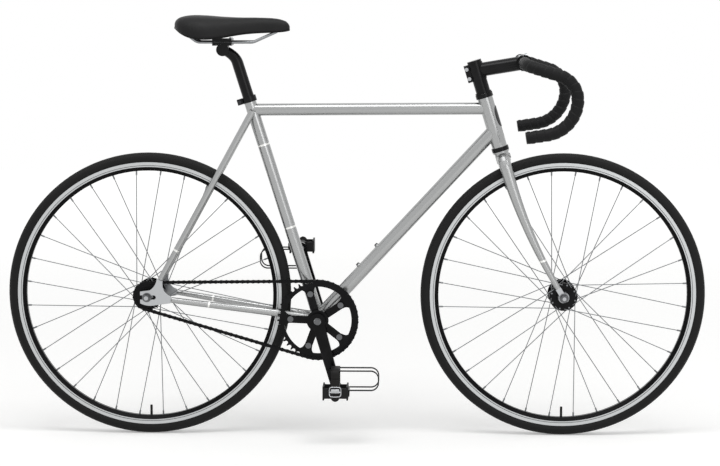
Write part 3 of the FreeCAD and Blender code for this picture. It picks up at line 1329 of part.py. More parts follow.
# Stem: steerer clamp, extension and bar clamp, with a bolted faceplate
STEM_LINE = leaning(STEM_RISE_ANGLE)
STEM_ACROSS = leaning(STEM_RISE_ANGLE + HALF_TURN / 2)
STEM_ROOT = steer_at(SPACERS_TOP + STEM_CLAMP_HEIGHT * STEM_AXIS_SHARE)
BAR_CENTRE = STEM_ROOT + STEM_LINE * STEM_LENGTH
STEM_CLAMP_R = STEERER_R + SLIDE_FIT + STEM_CLAMP_WALL
BAR_BORE_R = BAR_SLEEVE_R + SLIDE_FIT
BAR_CLAMP_R = BAR_BORE_R + BAR_CLAMP_WALL
CLAMP_BOLT_OFFSET = BAR_BORE_R + BAR_CLAMP_WALL / 2
PINCH_SHARES = (0.22, 0.78)


def bar_clamp():
    half = LEFT * (BAR_CLAMP_LENGTH / 2)
    return rod(BAR_CENTRE - half, BAR_CENTRE + half, BAR_CLAMP_R)


def ahead_of_bar(start):
    """All the space ahead of a plane across the stem, this far beyond the bar's centre."""
    first = BAR_CENTRE + STEM_LINE * start
    return bar_block(first, first + STEM_LINE * (2 * BAR_CLAMP_R), LEFT, 2 * BAR_CLAMP_LENGTH, 4 * BAR_CLAMP_R)


def bar_bore():
    reach = LEFT * (BAR_CLAMP_LENGTH / 2 + OVERRUN)
    return rod(BAR_CENTRE - reach, BAR_CENTRE + reach, BAR_BORE_R)


def faceplate_bolt_lines():
    places = []
    for side in SIDES:
        for level in SIDES:
            sideways = LEFT * (side * (BAR_CLAMP_LENGTH / 2 - STEM_BOLT_EDGE))
            places.append(BAR_CENTRE + sideways + STEM_ACROSS * (level * CLAMP_BOLT_OFFSET))
    return places


def pinch_bolt_lines():
    back = STEER_FORE * -(STEM_CLAMP_R + STEM_EAR / 2)
    return [steer_at(SPACERS_TOP + STEM_CLAMP_HEIGHT * share) + back for share in PINCH_SHARES]


def faceplate_holes():
    seats = []
    for place in faceplate_bolt_lines():
        seat = place + STEM_LINE * STEM_BOLT_SEAT
        seats.append(rod(place - STEM_LINE * (STEM_BOLT_DEPTH + SEAT_GAP), seat, STEM_BOLT_R + SLIDE_FIT))
        seats.append(rod(seat, seat + STEM_LINE * BAR_CLAMP_R, STEM_BOLT_HEAD_R + SEAT_GAP))
    return seats


def make_stem():
    low = steer_at(SPACERS_TOP)
    top = steer_at(STEM_TOP)
    middle = (low + top) * (1 / 2)
    ear_end = middle - STEER_FORE * (STEM_CLAMP_R + STEM_EAR)
    body = merged([
        rod(low, top, STEM_CLAMP_R),
        rod(STEM_ROOT, BAR_CENTRE, STEM_TUBE_R),
        bar_clamp(),
        bar_block(middle, ear_end, LEFT, STEM_CLAMP_R, STEM_CLAMP_HEIGHT),
    ])
    cuts = [rod(low - STEER_UP * OVERRUN, top + STEER_UP * OVERRUN, STEERER_R + SLIDE_FIT)]
    cuts.append(bar_block(middle, ear_end - STEER_FORE * OVERRUN, LEFT, STEM_SLIT, STEM_CLAMP_HEIGHT + OVERRUN))
    cuts += [bar_bore(), ahead_of_bar(-FACEPLATE_GAP / 2)]
    reach = LEFT * STEM_CLAMP_R
    cuts += [rod(place - reach, place + reach, STEM_BOLT_R + SLIDE_FIT) for place in pinch_bolt_lines()]
    return body.cut(cuts + faceplate_holes())


def make_faceplate():
    return bar_clamp().common(ahead_of_bar(FACEPLATE_GAP / 2)).cut([bar_bore()] + faceplate_holes())


def make_stem_bolts():
    bolts = []
    for place in faceplate_bolt_lines():
        seat = place + STEM_LINE * STEM_BOLT_SEAT
        shank = rod(place - STEM_LINE * STEM_BOLT_DEPTH, seat, STEM_BOLT_R)
        bolts.append(shank.fuse(rod(seat, seat + STEM_LINE * STEM_BOLT_HEAD, STEM_BOLT_HEAD_R)))
    for place in pinch_bolt_lines():
        half = LEFT * (STEM_CLAMP_R / 2)
        head = LEFT * STEM_BOLT_HEAD
        shank = rod(place - half, place + half, STEM_BOLT_R)
        bolts.append(shank.fuse(rod(place - half - head, place - half, STEM_BOLT_HEAD_R)))
    return Part.makeCompound(bolts)


# Drop handlebar: flat top, shoulder bend, ramp, two drop arcs and a straight end
RAMP_LINE = leaning(-BAR_RAMP_ANGLE)
QUARTER = HALF_TURN / 2


def turning_arc(centre, radius, first, last):
    """An arc in an upright plane, where the bar's heading falls from first to last degrees."""
    points = [centre + leaning(heading + QUARTER) * radius for heading in (first, (first + last) / 2, last)]
    return Part.Arc(*points).toShape()


def half_bar_edges():
    flat_end = BAR_CENTRE + LEFT * (BAR_WIDTH / 2 - BAR_SHOULDER_R)
    shoulder = flat_end + RAMP_LINE * BAR_SHOULDER_R
    ramp_start = shoulder + LEFT * BAR_SHOULDER_R
    bulge = shoulder + (LEFT - RAMP_LINE).normalize() * BAR_SHOULDER_R
    ramp_end = ramp_start + RAMP_LINE * BAR_RAMP_LENGTH
    upper = ramp_end - leaning(QUARTER - BAR_RAMP_ANGLE) * BAR_UPPER_R
    lower = upper + FORE * (BAR_UPPER_R - BAR_LOWER_R)
    last = BAR_END_ANGLE - HALF_TURN
    lower_end = lower + leaning(last + QUARTER) * BAR_LOWER_R
    return [
        Part.LineSegment(BAR_CENTRE, flat_end).toShape(),
        Part.Arc(flat_end, bulge, ramp_start).toShape(),
        Part.LineSegment(ramp_start, ramp_end).toShape(),
        turning_arc(upper, BAR_UPPER_R, -BAR_RAMP_ANGLE, -QUARTER),
        turning_arc(lower, BAR_LOWER_R, -QUARTER, last),
        Part.LineSegment(lower_end, lower_end + leaning(last) * BAR_END_LENGTH).toShape(),
    ]


BAR_EDGES = half_bar_edges()
BAR_HALF_LENGTH = sum(edge.Length for edge in BAR_EDGES)


def along_bar(distance):
    """The bar's centre and heading at a distance along its left half."""
    for edge in BAR_EDGES:
        if distance <= edge.Length + SLIDE_FIT:
            where = edge.getParameterByLength(min(distance, edge.Length))
            return edge.valueAt(where), edge.tangentAt(where)
        distance -= edge.Length


def make_handlebar():
    path = Part.Wire(BAR_EDGES)
    bore = round_pipe(path, BAR_R - BAR_WALL)
    half_sleeve = rod(BAR_CENTRE, BAR_CENTRE + LEFT * (BAR_SLEEVE_LENGTH / 2), BAR_SLEEVE_R)
    half = round_pipe(path, BAR_R).fuse(half_sleeve).cut(bore)
    return half.fuse(mirrored(half))


# Bar tape: overlapping wraps from beside the sleeve to the bar's end, as steps in the outer skin
WRAP_PLACE_SHARES = (0.0, 0.12, 0.6, 0.94)
WRAP_RISE_SHARES = (0.0, 1.0, 0.75, 0.25)


def tape_skin(distances, radii):
    rings = []
    across = UP
    for distance, radius in zip(distances, radii):
        centre, along = along_bar(distance)
        across = (across - along * across.dot(along)).normalize()
        ring = circle(ORIGIN, UP, radius)
        ring.Placement = FreeCAD.Placement(centre, FreeCAD.Rotation(across, along.cross(across), along, "ZXY"))
        rings.append(ring)
    return Part.makeLoft(rings, True, True)


def make_bar_tape():
    step = (BAR_HALF_LENGTH - TAPE_START) / TAPE_WRAPS
    turns = [wrap + place for wrap in range(TAPE_WRAPS) for place in WRAP_PLACE_SHARES]
    distances = [TAPE_START + step * turn for turn in turns]
    distances.append(BAR_HALF_LENGTH)
    low = BAR_R + TAPE_THICK - TAPE_LAP
    radii = [low + TAPE_LAP * rise for wrap in range(TAPE_WRAPS) for rise in WRAP_RISE_SHARES] + [low]
    bore = tape_skin(distances, [BAR_R + SEAT_GAP for distance in distances])
    left = tape_skin(distances, radii).cut(bore)
    return Part.makeCompound([mirrored(left), left])


def make_end_plugs():
    end, along = along_bar(BAR_HALF_LENGTH)
    cap = rod(end, end + along * PLUG_THICK, BAR_R + TAPE_THICK - TAPE_LAP)
    left = cap.fuse(rod(end - along * PLUG_DEPTH, end, BAR_R - BAR_WALL - SLIDE_FIT))
    return Part.makeCompound([mirrored(left), left])


save("stem", make_stem())
save("stem_faceplate", make_faceplate())
save("stem_bolts", make_stem_bolts())
save("handlebar", make_handlebar())
save("bar_tape", make_bar_tape())
save("bar_end_plugs", make_end_plugs())

# Seatpost: a hollow post with a setback neck and a round head across its top
TILT_CENTRE = SEAT_TOP + SEAT_UP * POST_HEAD_RISE + SEAT_BACK * POST_HEAD_SETBACK
POST_TOP = SEAT_TOP + SEAT_UP * POST_SHOWN
POST_FOOT = SEAT_TOP - SEAT_UP * POST_INSERTED
NECK_BEND_SHARE = 0.5
NECK_STATIONS = 8


def make_seatpost():
    bend = POST_TOP + SEAT_UP * ((POST_HEAD_RISE - POST_SHOWN) * NECK_BEND_SHARE)
    rings = []
    for index in range(NECK_STATIONS + 1):
        share = index / NECK_STATIONS
        low = POST_TOP + (bend - POST_TOP) * share
        high = bend + (TILT_CENTRE - bend) * share
        rings.append(circle(low + (high - low) * share, high - low, POST_R + (POST_NECK_R - POST_R) * share))
    neck = Part.makeLoft(rings, True, True)
    half = LEFT * (POST_HEAD_WIDTH / 2)
    head = rod(TILT_CENTRE - half, TILT_CENTRE + half, POST_HEAD_R)
    body = merged([rod(POST_FOOT, POST_TOP, POST_R), neck, head])
    return body.cut(rod(POST_FOOT - SEAT_UP * OVERRUN, POST_TOP - SEAT_UP * POST_R, POST_R - POST_WALL))


# Saddle rails: a pair of rods, level at the clamp and rising to the nose and the tail
RAIL_HEIGHT = TILT_CENTRE.z + RAIL_ABOVE_TILT
NOSE_SOCKET_SHARE = 0.47
FRONT_BEND_SHARE = 0.27
REAR_BEND_SHARE = -0.22
TAIL_SOCKET_SHARE = -0.33


def rail_path(side):
    level = TILT_CENTRE.x
    points = [
        at(level + NOSE_SOCKET_SHARE * SADDLE_LENGTH, side * RAIL_NOSE_SPACING / 2, RAIL_HEIGHT + RAIL_RISE),
        at(level + FRONT_BEND_SHARE * SADDLE_LENGTH, side * RAIL_SPACING / 2, RAIL_HEIGHT),
        at(level + REAR_BEND_SHARE * SADDLE_LENGTH, side * RAIL_SPACING / 2, RAIL_HEIGHT),
        at(level + TAIL_SOCKET_SHARE * SADDLE_LENGTH, side * RAIL_TAIL_SPACING / 2, RAIL_HEIGHT + RAIL_RISE),
    ]
    return rounded_path(points, RAIL_BEND_R)


def make_rails(radius):
    return [round_pipe(rail_path(side), radius) for side in SIDES]


# Seat clamp: a cradle that rocks on the post head, a cap over the rails and two bolts
CLAMP_BOLT_REACH = POST_HEAD_R + CRADLE_GAP + CLAMP_BOLT_GAP + CLAMP_BOLT_R


def clamp_block(low, high):
    half_length = CLAMP_LENGTH / 2
    half_width = CLAMP_WIDTH / 2
    corner = at(TILT_CENTRE.x - half_length, -half_width, RAIL_HEIGHT + low)
    return block(corner, at(TILT_CENTRE.x + half_length, half_width, RAIL_HEIGHT + high))


def clamp_bolt_places():
    return [at(TILT_CENTRE.x + end * CLAMP_BOLT_REACH, 0, RAIL_HEIGHT) for end in SIDES]


def make_seat_clamp():
    base = clamp_block(-CLAMP_BASE, -CLAMP_SPLIT / 2)
    cap = clamp_block(CLAMP_SPLIT / 2, CLAMP_CAP)
    reach = LEFT * CLAMP_WIDTH
    grooves = make_rails(RAIL_R + SLIDE_FIT)
    cuts = grooves + [rod(TILT_CENTRE - reach, TILT_CENTRE + reach, POST_HEAD_R + CRADLE_GAP)]
    for place in clamp_bolt_places():
        low = place - UP * (CLAMP_BASE + OVERRUN)
        high = place + UP * (CLAMP_CAP + OVERRUN)
        cuts.append(rod(low, high, CLAMP_BOLT_R + SLIDE_FIT))
    return Part.makeCompound([base.cut(cuts), cap.cut(cuts)])


def make_clamp_bolts():
    bolts = []
    for place in clamp_bolt_places():
        top = place + UP * CLAMP_CAP
        shank = rod(place - UP * CLAMP_BASE, top, CLAMP_BOLT_R)
        bolts.append(shank.fuse(rod(top, top + UP * CLAMP_BOLT_HEAD, CLAMP_BOLT_HEAD_R)))
    return Part.makeCompound(bolts)


# Saddle: sections from the tail to the nose, as shares of its length, half width and height
SADDLE_PLACE_SHARES = (0.0, 0.05, 0.14, 0.27, 0.41, 0.56, 0.72, 0.88, 0.96, 1.0)
SADDLE_WIDTH_SHARES = (0.42, 0.74, 0.95, 1.0, 0.80, 0.53, 0.36, 0.29, 0.25, 0.15)
SADDLE_TOP_SHARES = (0.78, 0.91, 1.0, 0.985, 0.93, 0.875, 0.84, 0.77, 0.70, 0.60)
SADDLE_EDGE_SHARES = (0.50, 0.30, 0.08, 0.0, 0.06, 0.19, 0.27, 0.31, 0.35, 0.40)
EDGE_IN_SHARE = 0.94
SIDE_SHARES = (0.30, 0.70)
SIDE_IN_SHARE = 0.84
ARCH_SHARE = 0.34
SHELL_WIDTH_SHARE = 0.86
SADDLE_NOSE = TILT_CENTRE.x + SADDLE_AHEAD
SADDLE_TAIL = SADDLE_NOSE - SADDLE_LENGTH
SADDLE_LOW = RAIL_HEIGHT + SADDLE_ABOVE_RAILS - SADDLE_HEIGHT


def saddle_sections():
    """Where each section stands, with its half width, its lowest edge and its crown."""
    shares = zip(SADDLE_PLACE_SHARES, SADDLE_WIDTH_SHARES, SADDLE_EDGE_SHARES, SADDLE_TOP_SHARES)
    for place, width, edge, top in shares:
        x = SADDLE_TAIL + SADDLE_LENGTH * place
        yield x, SADDLE_WIDTH / 2 * width, SADDLE_LOW + SADDLE_HEIGHT * edge, SADDLE_LOW + SADDLE_HEIGHT * top


def arch_height(sideways, half_width, edge, crown):
    """The height of the arch under the saddle, an arc over its two edges, at a place across it."""
    rise = (crown - edge) * ARCH_SHARE
    radius = (half_width ** 2 + rise ** 2) / (2 * rise)
    return edge + rise - radius + math.sqrt(radius ** 2 - sideways ** 2)


def make_saddle_cover():
    wires = []
    for x, half, edge, crown in saddle_sections():
        tall = crown - edge
        low = half * EDGE_IN_SHARE
        shoulder = half * SIDE_IN_SHARE
        side_height, shoulder_height = [edge + tall * share for share in SIDE_SHARES]
        left = [at(x, low, edge), at(x, half, side_height), at(x, shoulder, shoulder_height)]
        right = [at(point.x, -point.y, point.z) for point in reversed(left)]
        arch = at(x, 0, arch_height(0, low, edge, crown))
        wires.append(Part.Wire([
            Part.Arc(right[2], arch, left[0]).toShape(),
            Part.Arc(*left).toShape(),
            Part.Arc(left[2], at(x, 0, crown), right[0]).toShape(),
            Part.Arc(*right).toShape(),
        ]))
    return Part.makeLoft(wires, True)


def make_saddle_shell():
    wires = []
    for x, half, edge, crown in saddle_sections():
        reach = half * SHELL_WIDTH_SHARE
        low = half * EDGE_IN_SHARE
        rim = arch_height(reach, low, edge, crown) - SADDLE_SHELL_GAP
        arch = arch_height(0, low, edge, crown) - SADDLE_SHELL_GAP
        down = SADDLE_SHELL_THICK
        wires.append(Part.Wire([
            Part.Arc(at(x, -reach, rim), at(x, 0, arch), at(x, reach, rim)).toShape(),
            Part.LineSegment(at(x, reach, rim), at(x, reach, rim - down)).toShape(),
            Part.Arc(at(x, reach, rim - down), at(x, 0, arch - down), at(x, -reach, rim - down)).toShape(),
            Part.LineSegment(at(x, -reach, rim - down), at(x, -reach, rim)).toShape(),
        ]))
    return Part.makeLoft(wires, True)


save("seatpost", make_seatpost())
save("saddle_rails", *make_rails(RAIL_R))
save("seat_clamp", make_seat_clamp())
save("seat_clamp_bolts", make_clamp_bolts())
save("saddle_cover", make_saddle_cover())
save("saddle_shell", make_saddle_shell().cut(make_rails(RAIL_R + SLIDE_FIT)))
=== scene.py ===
import bpy
import bmesh
import json
import math
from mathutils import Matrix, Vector


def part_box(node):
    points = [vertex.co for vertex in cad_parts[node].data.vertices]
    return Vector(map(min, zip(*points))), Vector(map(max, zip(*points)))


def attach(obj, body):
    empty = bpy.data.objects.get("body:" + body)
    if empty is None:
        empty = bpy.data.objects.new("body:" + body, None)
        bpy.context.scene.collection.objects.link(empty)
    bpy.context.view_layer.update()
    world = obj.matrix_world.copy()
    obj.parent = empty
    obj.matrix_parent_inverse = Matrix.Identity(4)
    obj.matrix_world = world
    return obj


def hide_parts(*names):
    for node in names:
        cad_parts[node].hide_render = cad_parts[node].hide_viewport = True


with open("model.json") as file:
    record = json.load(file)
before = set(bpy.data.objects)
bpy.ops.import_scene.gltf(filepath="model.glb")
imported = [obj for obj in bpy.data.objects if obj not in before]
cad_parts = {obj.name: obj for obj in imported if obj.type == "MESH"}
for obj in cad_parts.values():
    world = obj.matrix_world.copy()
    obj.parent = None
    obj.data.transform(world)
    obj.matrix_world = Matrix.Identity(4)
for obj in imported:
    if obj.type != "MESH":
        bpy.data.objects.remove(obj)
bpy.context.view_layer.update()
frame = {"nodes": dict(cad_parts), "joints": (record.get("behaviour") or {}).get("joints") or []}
nodes = frame["nodes"]
joints = {joint["name"]: joint for joint in frame["joints"]}
scene = bpy.context.scene


# Studio: a seamless pale paper floor under two wide soft boxes, as for a catalogue picture.
# The camera stands five metres off the drive side, a little above the bars, with a long lens.
# The paper's own glow rises away from the bike as the lamps fall off, so it stays white and keeps the shadow.
FLOOR_HALF = 7.0
GLOW_REACH = 5.0
GLOW_NEAR = 0.18
GLOW_FAR = 0.56
ROOM_LIGHT = 0.5
LIGHT_TARGET = Vector((0.0, 0.0, 0.5))
SOFT_BOXES = (
    ("overhead_soft_box", (0.1, -0.9, 3.2), (3.4, 1.2), 50),
    ("front_soft_box", (1.8, -3.6, 1.7), (2.0, 1.6), 20),
)
CAMERA_PLACE = (0.1336, -5.0, 1.0873)
CAMERA_DIP = 0.1196
CAMERA_TURN = 0.0247
LENS_MM = 105.6
SENSOR_MM = 36.0


def hex_colour(text):
    """An sRGB hex value as linear red, green and blue, with full alpha."""
    parts = [int(text[i:i + 2], 16) / 255 for i in (1, 3, 5)]
    return [part / 12.92 if part <= 0.04045 else ((part + 0.055) / 1.055) ** 2.4 for part in parts] + [1.0]


def add_node(tree, kind, inputs, **settings):
    """One shader node with its settings, and a value or a link for each named input."""
    node = tree.nodes.new(kind)
    for name, value in settings.items():
        setattr(node, name, value)
    for name, value in inputs.items():
        if isinstance(value, bpy.types.NodeSocket):
            tree.links.new(value, node.inputs[name])
        else:
            node.inputs[name].default_value = value
    return node


def feed(material, **sockets):
    """A value or a link for each named socket of a material's Principled shader."""
    tree = material.node_tree
    for name, value in sockets.items():
        socket = tree.nodes["Principled BSDF"].inputs[name.replace("_", " ")]
        if isinstance(value, bpy.types.NodeSocket):
            tree.links.new(value, socket)
        else:
            socket.default_value = value


def new_material(name, **sockets):
    """A material with its Principled shader's sockets set, and its node tree."""
    material = bpy.data.materials.new(name)
    material.use_nodes = True
    feed(material, **sockets)
    return material, material.node_tree


def bare_background(tree):
    """1 for a ray from the camera, a shine or clear matter, which sees the background, and else 0."""
    rays = add_node(tree, "ShaderNodeLightPath", {})
    seen = rays.outputs["Is Camera Ray"]
    for kind in ("Is Glossy Ray", "Is Transmission Ray"):
        either = add_node(tree, "ShaderNodeMath", {0: seen, 1: rays.outputs[kind]}, operation="MAXIMUM")
        seen = either.outputs[0]
    return seen


floor_mesh = bpy.data.meshes.new("studio_floor")
floor_corners = [(x * FLOOR_HALF, y * FLOOR_HALF, 0) for x, y in ((-1, -1), (1, -1), (1, 1), (-1, 1))]
floor_mesh.from_pydata(floor_corners, [], [(0, 1, 2, 3)])
floor = bpy.data.objects.new("studio_floor", floor_mesh)
scene.collection.objects.link(floor)
# Paper: matt and almost white, without an edge or a grain to catch the eye.
paper, paper_tree = new_material("white_paper_sweep", Base_Color=hex_colour("#f4f4f3"), Roughness=0.9,
                                 Emission_Color=hex_colour("#ffffff"))
paper_spot = add_node(paper_tree, "ShaderNodeTexCoord", {})
paper_reach = add_node(paper_tree, "ShaderNodeVectorMath", {0: paper_spot.outputs["Object"]},
                       operation="LENGTH")
paper_level = add_node(paper_tree, "ShaderNodeMapRange", {"Value": paper_reach.outputs["Value"],
                       "From Max": GLOW_REACH, "To Min": GLOW_NEAR, "To Max": GLOW_FAR})
paper_glow = add_node(paper_tree, "ShaderNodeMath", {0: bare_background(paper_tree),
                      1: paper_level.outputs["Result"]}, operation="MULTIPLY")
feed(paper, Emission_Strength=paper_glow.outputs[0])
floor_mesh.materials.append(paper)

world = bpy.data.worlds.new("studio_room")
scene.world = world
world.use_nodes = True
room_level = add_node(world.node_tree, "ShaderNodeMapRange", {"Value": bare_background(world.node_tree),
                      "To Min": ROOM_LIGHT})
room = world.node_tree.nodes["Background"]
room.inputs["Color"].default_value = hex_colour("#ffffff")
world.node_tree.links.new(room_level.outputs["Result"], room.inputs["Strength"])

for name, place, size, watts in SOFT_BOXES:
    lamp = bpy.data.lights.new(name, "AREA")
    lamp.shape = "RECTANGLE"
    lamp.size, lamp.size_y = size
    lamp.energy = watts
    stand = bpy.data.objects.new(name, lamp)
    stand.location = place
    stand.rotation_euler = (LIGHT_TARGET - Vector(place)).to_track_quat("-Z", "Y").to_euler()
    scene.collection.objects.link(stand)

camera_data = bpy.data.cameras.new("catalogue_camera")
camera_data.sensor_width = SENSOR_MM
camera_data.lens = LENS_MM
camera = bpy.data.objects.new("catalogue_camera", camera_data)
camera.location = CAMERA_PLACE
camera.rotation_euler = (math.pi / 2 - CAMERA_DIP, 0, CAMERA_TURN)
scene.collection.objects.link(camera)
scene.camera = camera
scene.view_settings.view_transform = "Standard"


# Frame and fork: drawn steel tubes, brazed and sprayed in a satin silver-grey metal lacquer.
# Thin white lining bands run round the seat tube, stays and fork blades.
LACQUER_GREY = hex_colour("#959696")
LACQUER_PALE = hex_colour("#b0b1b1")
LINING_WHITE = hex_colour("#e9e9e6")
LINING_HALF_WIDTH = 0.0022
FLAKE_SIZE = 0.0012
SPRAY_PATCH = 0.0167
SEAT_TUBE_LINES = ((-0.2181, 0, 0.6969), (-0.1570, 0, 0.4999))
SEATSTAY_LINE = (-0.4282, 0, 0.4526)
CHAINSTAY_LINE = (-0.3460, 0, 0.3268)
FORK_LINE = (0.4364, 0, 0.4250)


def dress(material, *names):
    """The material on each named CAD node, in place of the one it came with."""
    for name in names:
        nodes[name].data.materials.clear()
        nodes[name].data.materials.append(material)


# Silver lacquer: a soft grey metal sheen with a bright streak along each tube, uneven from the spray.
# Real flake is finer than a tenth of a millimetre, so it is drawn coarser to show.
def silver_lacquer(name, axis, line_points):
    """Lacquer with a white lining band round the tube at each point along the axis."""
    material, tree = new_material(name, Metallic=0.9, Coat_Weight=0.2, Coat_Roughness=0.2)
    spot = add_node(tree, "ShaderNodeTexCoord", {}).outputs["Object"]
    flake = add_node(tree, "ShaderNodeTexNoise", {"Vector": spot, "Scale": 1 / FLAKE_SIZE, "Detail": 2.0})
    grey = add_node(tree, "ShaderNodeMix", {"Factor": flake.outputs["Fac"], "A": LACQUER_GREY,
                    "B": LACQUER_PALE}, data_type="RGBA")
    colour = grey.outputs["Result"]
    along = add_node(tree, "ShaderNodeVectorMath", {0: spot, 1: axis}, operation="DOT_PRODUCT")
    for point in line_points:
        place = Vector(axis).dot(Vector(point))
        inside = add_node(tree, "ShaderNodeMath", {0: along.outputs["Value"], 1: place, 2: LINING_HALF_WIDTH},
                          operation="COMPARE")
        lined = add_node(tree, "ShaderNodeMix", {"Factor": inside.outputs[0], "A": colour, "B": LINING_WHITE},
                         data_type="RGBA")
        colour = lined.outputs["Result"]
    spray = add_node(tree, "ShaderNodeTexNoise", {"Vector": spot, "Scale": 1 / SPRAY_PATCH, "Detail": 3.0})
    rough = add_node(tree, "ShaderNodeMapRange", {"Value": spray.outputs["Fac"], "To Min": 0.2,
                     "To Max": 0.3})
    feed(material, Base_Color=colour, Roughness=rough.outputs["Result"])
    return material


def box_line(node, falling):
    """The direction of a slanted tube, from the corners of its node's box."""
    low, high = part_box(node)
    rise = low[2] - high[2] if falling else high[2] - low[2]
    return Vector((high[0] - low[0], 0, rise)).normalized()


seat_axis = joints["seatpost_slide"]["axis"]
steer_axis = joints["steering"]["axis"]
dress(silver_lacquer("silver_lacquer", (1, 0, 0), ()), "head_tube", "top_tube", "down_tube",
      "bottom_bracket_shell", "fork_steerer")
dress(silver_lacquer("silver_lacquer_seat_tube", seat_axis, SEAT_TUBE_LINES), "seat_tube")
seatstay_axis = box_line("seatstays", False)
dress(silver_lacquer("silver_lacquer_seatstays", seatstay_axis, (SEATSTAY_LINE,)), "seatstays")
chainstay_axis = box_line("chainstays", True)
dress(silver_lacquer("silver_lacquer_chainstays", chainstay_axis, (CHAINSTAY_LINE,)), "chainstays")
dress(silver_lacquer("silver_lacquer_fork", steer_axis, (FORK_LINE,)), "fork_blades")


# Bright metal: forged track ends and fork tips, drawn spokes, turned axles and bolts, bent rails and clips,
# and the bare middle of the bar. All are left uncoated, plated or blackened, and screwed or brazed in place.
# Each gives a clean shine that faint tool lines break up, drawn coarser than real so that they show.
def bright_metal(name, colour, roughness, line_mm):
    material, tree = new_material(name, Base_Color=hex_colour(colour), Metallic=1.0)
    spot = add_node(tree, "ShaderNodeTexCoord", {})
    lines = add_node(tree, "ShaderNodeTexNoise", {"Vector": spot.outputs["Object"], "Scale": 1000 / line_mm,
                     "Detail": 4.0})
    rough = add_node(tree, "ShaderNodeMapRange", {"Value": lines.outputs["Fac"], "To Min": roughness - 0.06,
                     "To Max": roughness + 0.08})
    bump = add_node(tree, "ShaderNodeBump", {"Height": lines.outputs["Fac"], "Strength": 0.08,
                    "Distance": 0.0002})
    feed(material, Roughness=rough.outputs["Result"], Normal=bump.outputs["Normal"])
    return material


# Forged steel is pale and a little dull; plated steel is shinier.
dress(bright_metal("forged_bright_steel", "#b4b6b8", 0.34, 6.0), "rear_dropouts", "fork_tips")
dress(bright_metal("plated_fastener_steel", "#adafb1", 0.28, 4.0), "front_axle", "rear_axle",
      "bottom_bracket_spindle", "pedal_spindles", "stem_bolts", "seat_clamp_bolts", "headset_bearings",
      "front_hub_bearings", "rear_hub_bearings")
# Drawn stainless wire and rail steel are greyer.
dress(bright_metal("drawn_stainless_wire", "#77797b", 0.3, 3.0), "front_spokes", "rear_spokes")
dress(bright_metal("saddle_rail_steel", "#8a8c8e", 0.32, 4.0), "saddle_rails")
# Blackened and grey steels keep their shine on a darker ground.
dress(bright_metal("blackened_bolt_steel", "#3a3b3d", 0.34, 4.0), "frame_bolts")
dress(bright_metal("grey_nut_steel", "#646567", 0.3, 4.0), "front_axle_nuts", "rear_axle_nuts",
      "crankset_bolts")
dress(bright_metal("blackened_spring_steel", "#1f2021", 0.26, 3.0), "toe_clip_right", "toe_clip_left")
# Bar alloy is polished, with the finest lines.
dress(bright_metal("handlebar_alloy", "#a9abad", 0.3, 2.0), "handlebar")


# Black alloy: stem, post, clamp, cranks, chainring, hubs, cups and spacers, held by bolts or pressed in.
# They are turned or forged aluminium with a dyed anodised skin.
ANODISED_BLACK = hex_colour("#070708")
ANODISED_WORN = hex_colour("#131315")
WORN_PATCH = 0.0263


# Anodised aluminium: near black with a quiet shine, a shade lighter in worn patches.
def anodised(name, roughness, shine):
    material, tree = new_material(name, Metallic=0.3, Specular_IOR_Level=shine)
    spot = add_node(tree, "ShaderNodeTexCoord", {})
    patches = add_node(tree, "ShaderNodeTexNoise", {"Vector": spot.outputs["Object"], "Scale": 1 / WORN_PATCH,
                       "Detail": 5.0})
    worn = add_node(tree, "ShaderNodeMapRange", {"Value": patches.outputs["Fac"], "From Min": 0.45,
                    "From Max": 0.75})
    colour = add_node(tree, "ShaderNodeMix", {"Factor": worn.outputs["Result"], "A": ANODISED_BLACK,
                      "B": ANODISED_WORN}, data_type="RGBA")
    rough = add_node(tree, "ShaderNodeMapRange", {"Value": patches.outputs["Fac"], "To Min": roughness - 0.05,
                     "To Max": roughness + 0.08})
    feed(material, Base_Color=colour.outputs["Result"], Roughness=rough.outputs["Result"])
    return material


dress(anodised("black_anodised_satin", 0.24, 0.25), "seatpost", "seat_clamp", "seat_collar", "headset_cups",
      "headset_spacers", "headset_top_cap", "stem", "stem_faceplate", "bottom_bracket_cups")
dress(anodised("black_anodised_polished", 0.18, 0.16), "crank_right", "crank_left", "chainring", "front_hub",
      "rear_hub")


# Chain and cog: stamped links riveted in a loop, and a turned cog screwed to the hub.
# Both are hardened steel, blackened and thinly oiled.
DUST_PATCH = 0.00714
# Oiled steel: dark, with a dull broken sheen where the oil holds dust.
chain_steel, chain_tree = new_material("oiled_chain_steel", Base_Color=hex_colour("#161617"), Metallic=0.9)
chain_spot = add_node(chain_tree, "ShaderNodeTexCoord", {})
chain_dust = add_node(chain_tree, "ShaderNodeTexNoise", {"Vector": chain_spot.outputs["Object"],
                      "Scale": 1 / DUST_PATCH, "Detail": 4.0})
chain_rough = add_node(chain_tree, "ShaderNodeMapRange", {"Value": chain_dust.outputs["Fac"], "To Min": 0.26,
                       "To Max": 0.52})
feed(chain_steel, Roughness=chain_rough.outputs["Result"])
dress(chain_steel, "chain", "rear_cog")


# Rims: a deep aluminium section, rolled to a hoop and black anodised, with the brake tracks machined bare.
# The tracks keep the fine concentric marks of the cutting tool and a shallow wear groove.
TRACK_INNER = 0.3052
TRACK_OUTER = 0.3166
GROOVE_RADIUS = 0.3085
GROOVE_HALF_WIDTH = 0.0006
TOOL_MARK = 0.0009


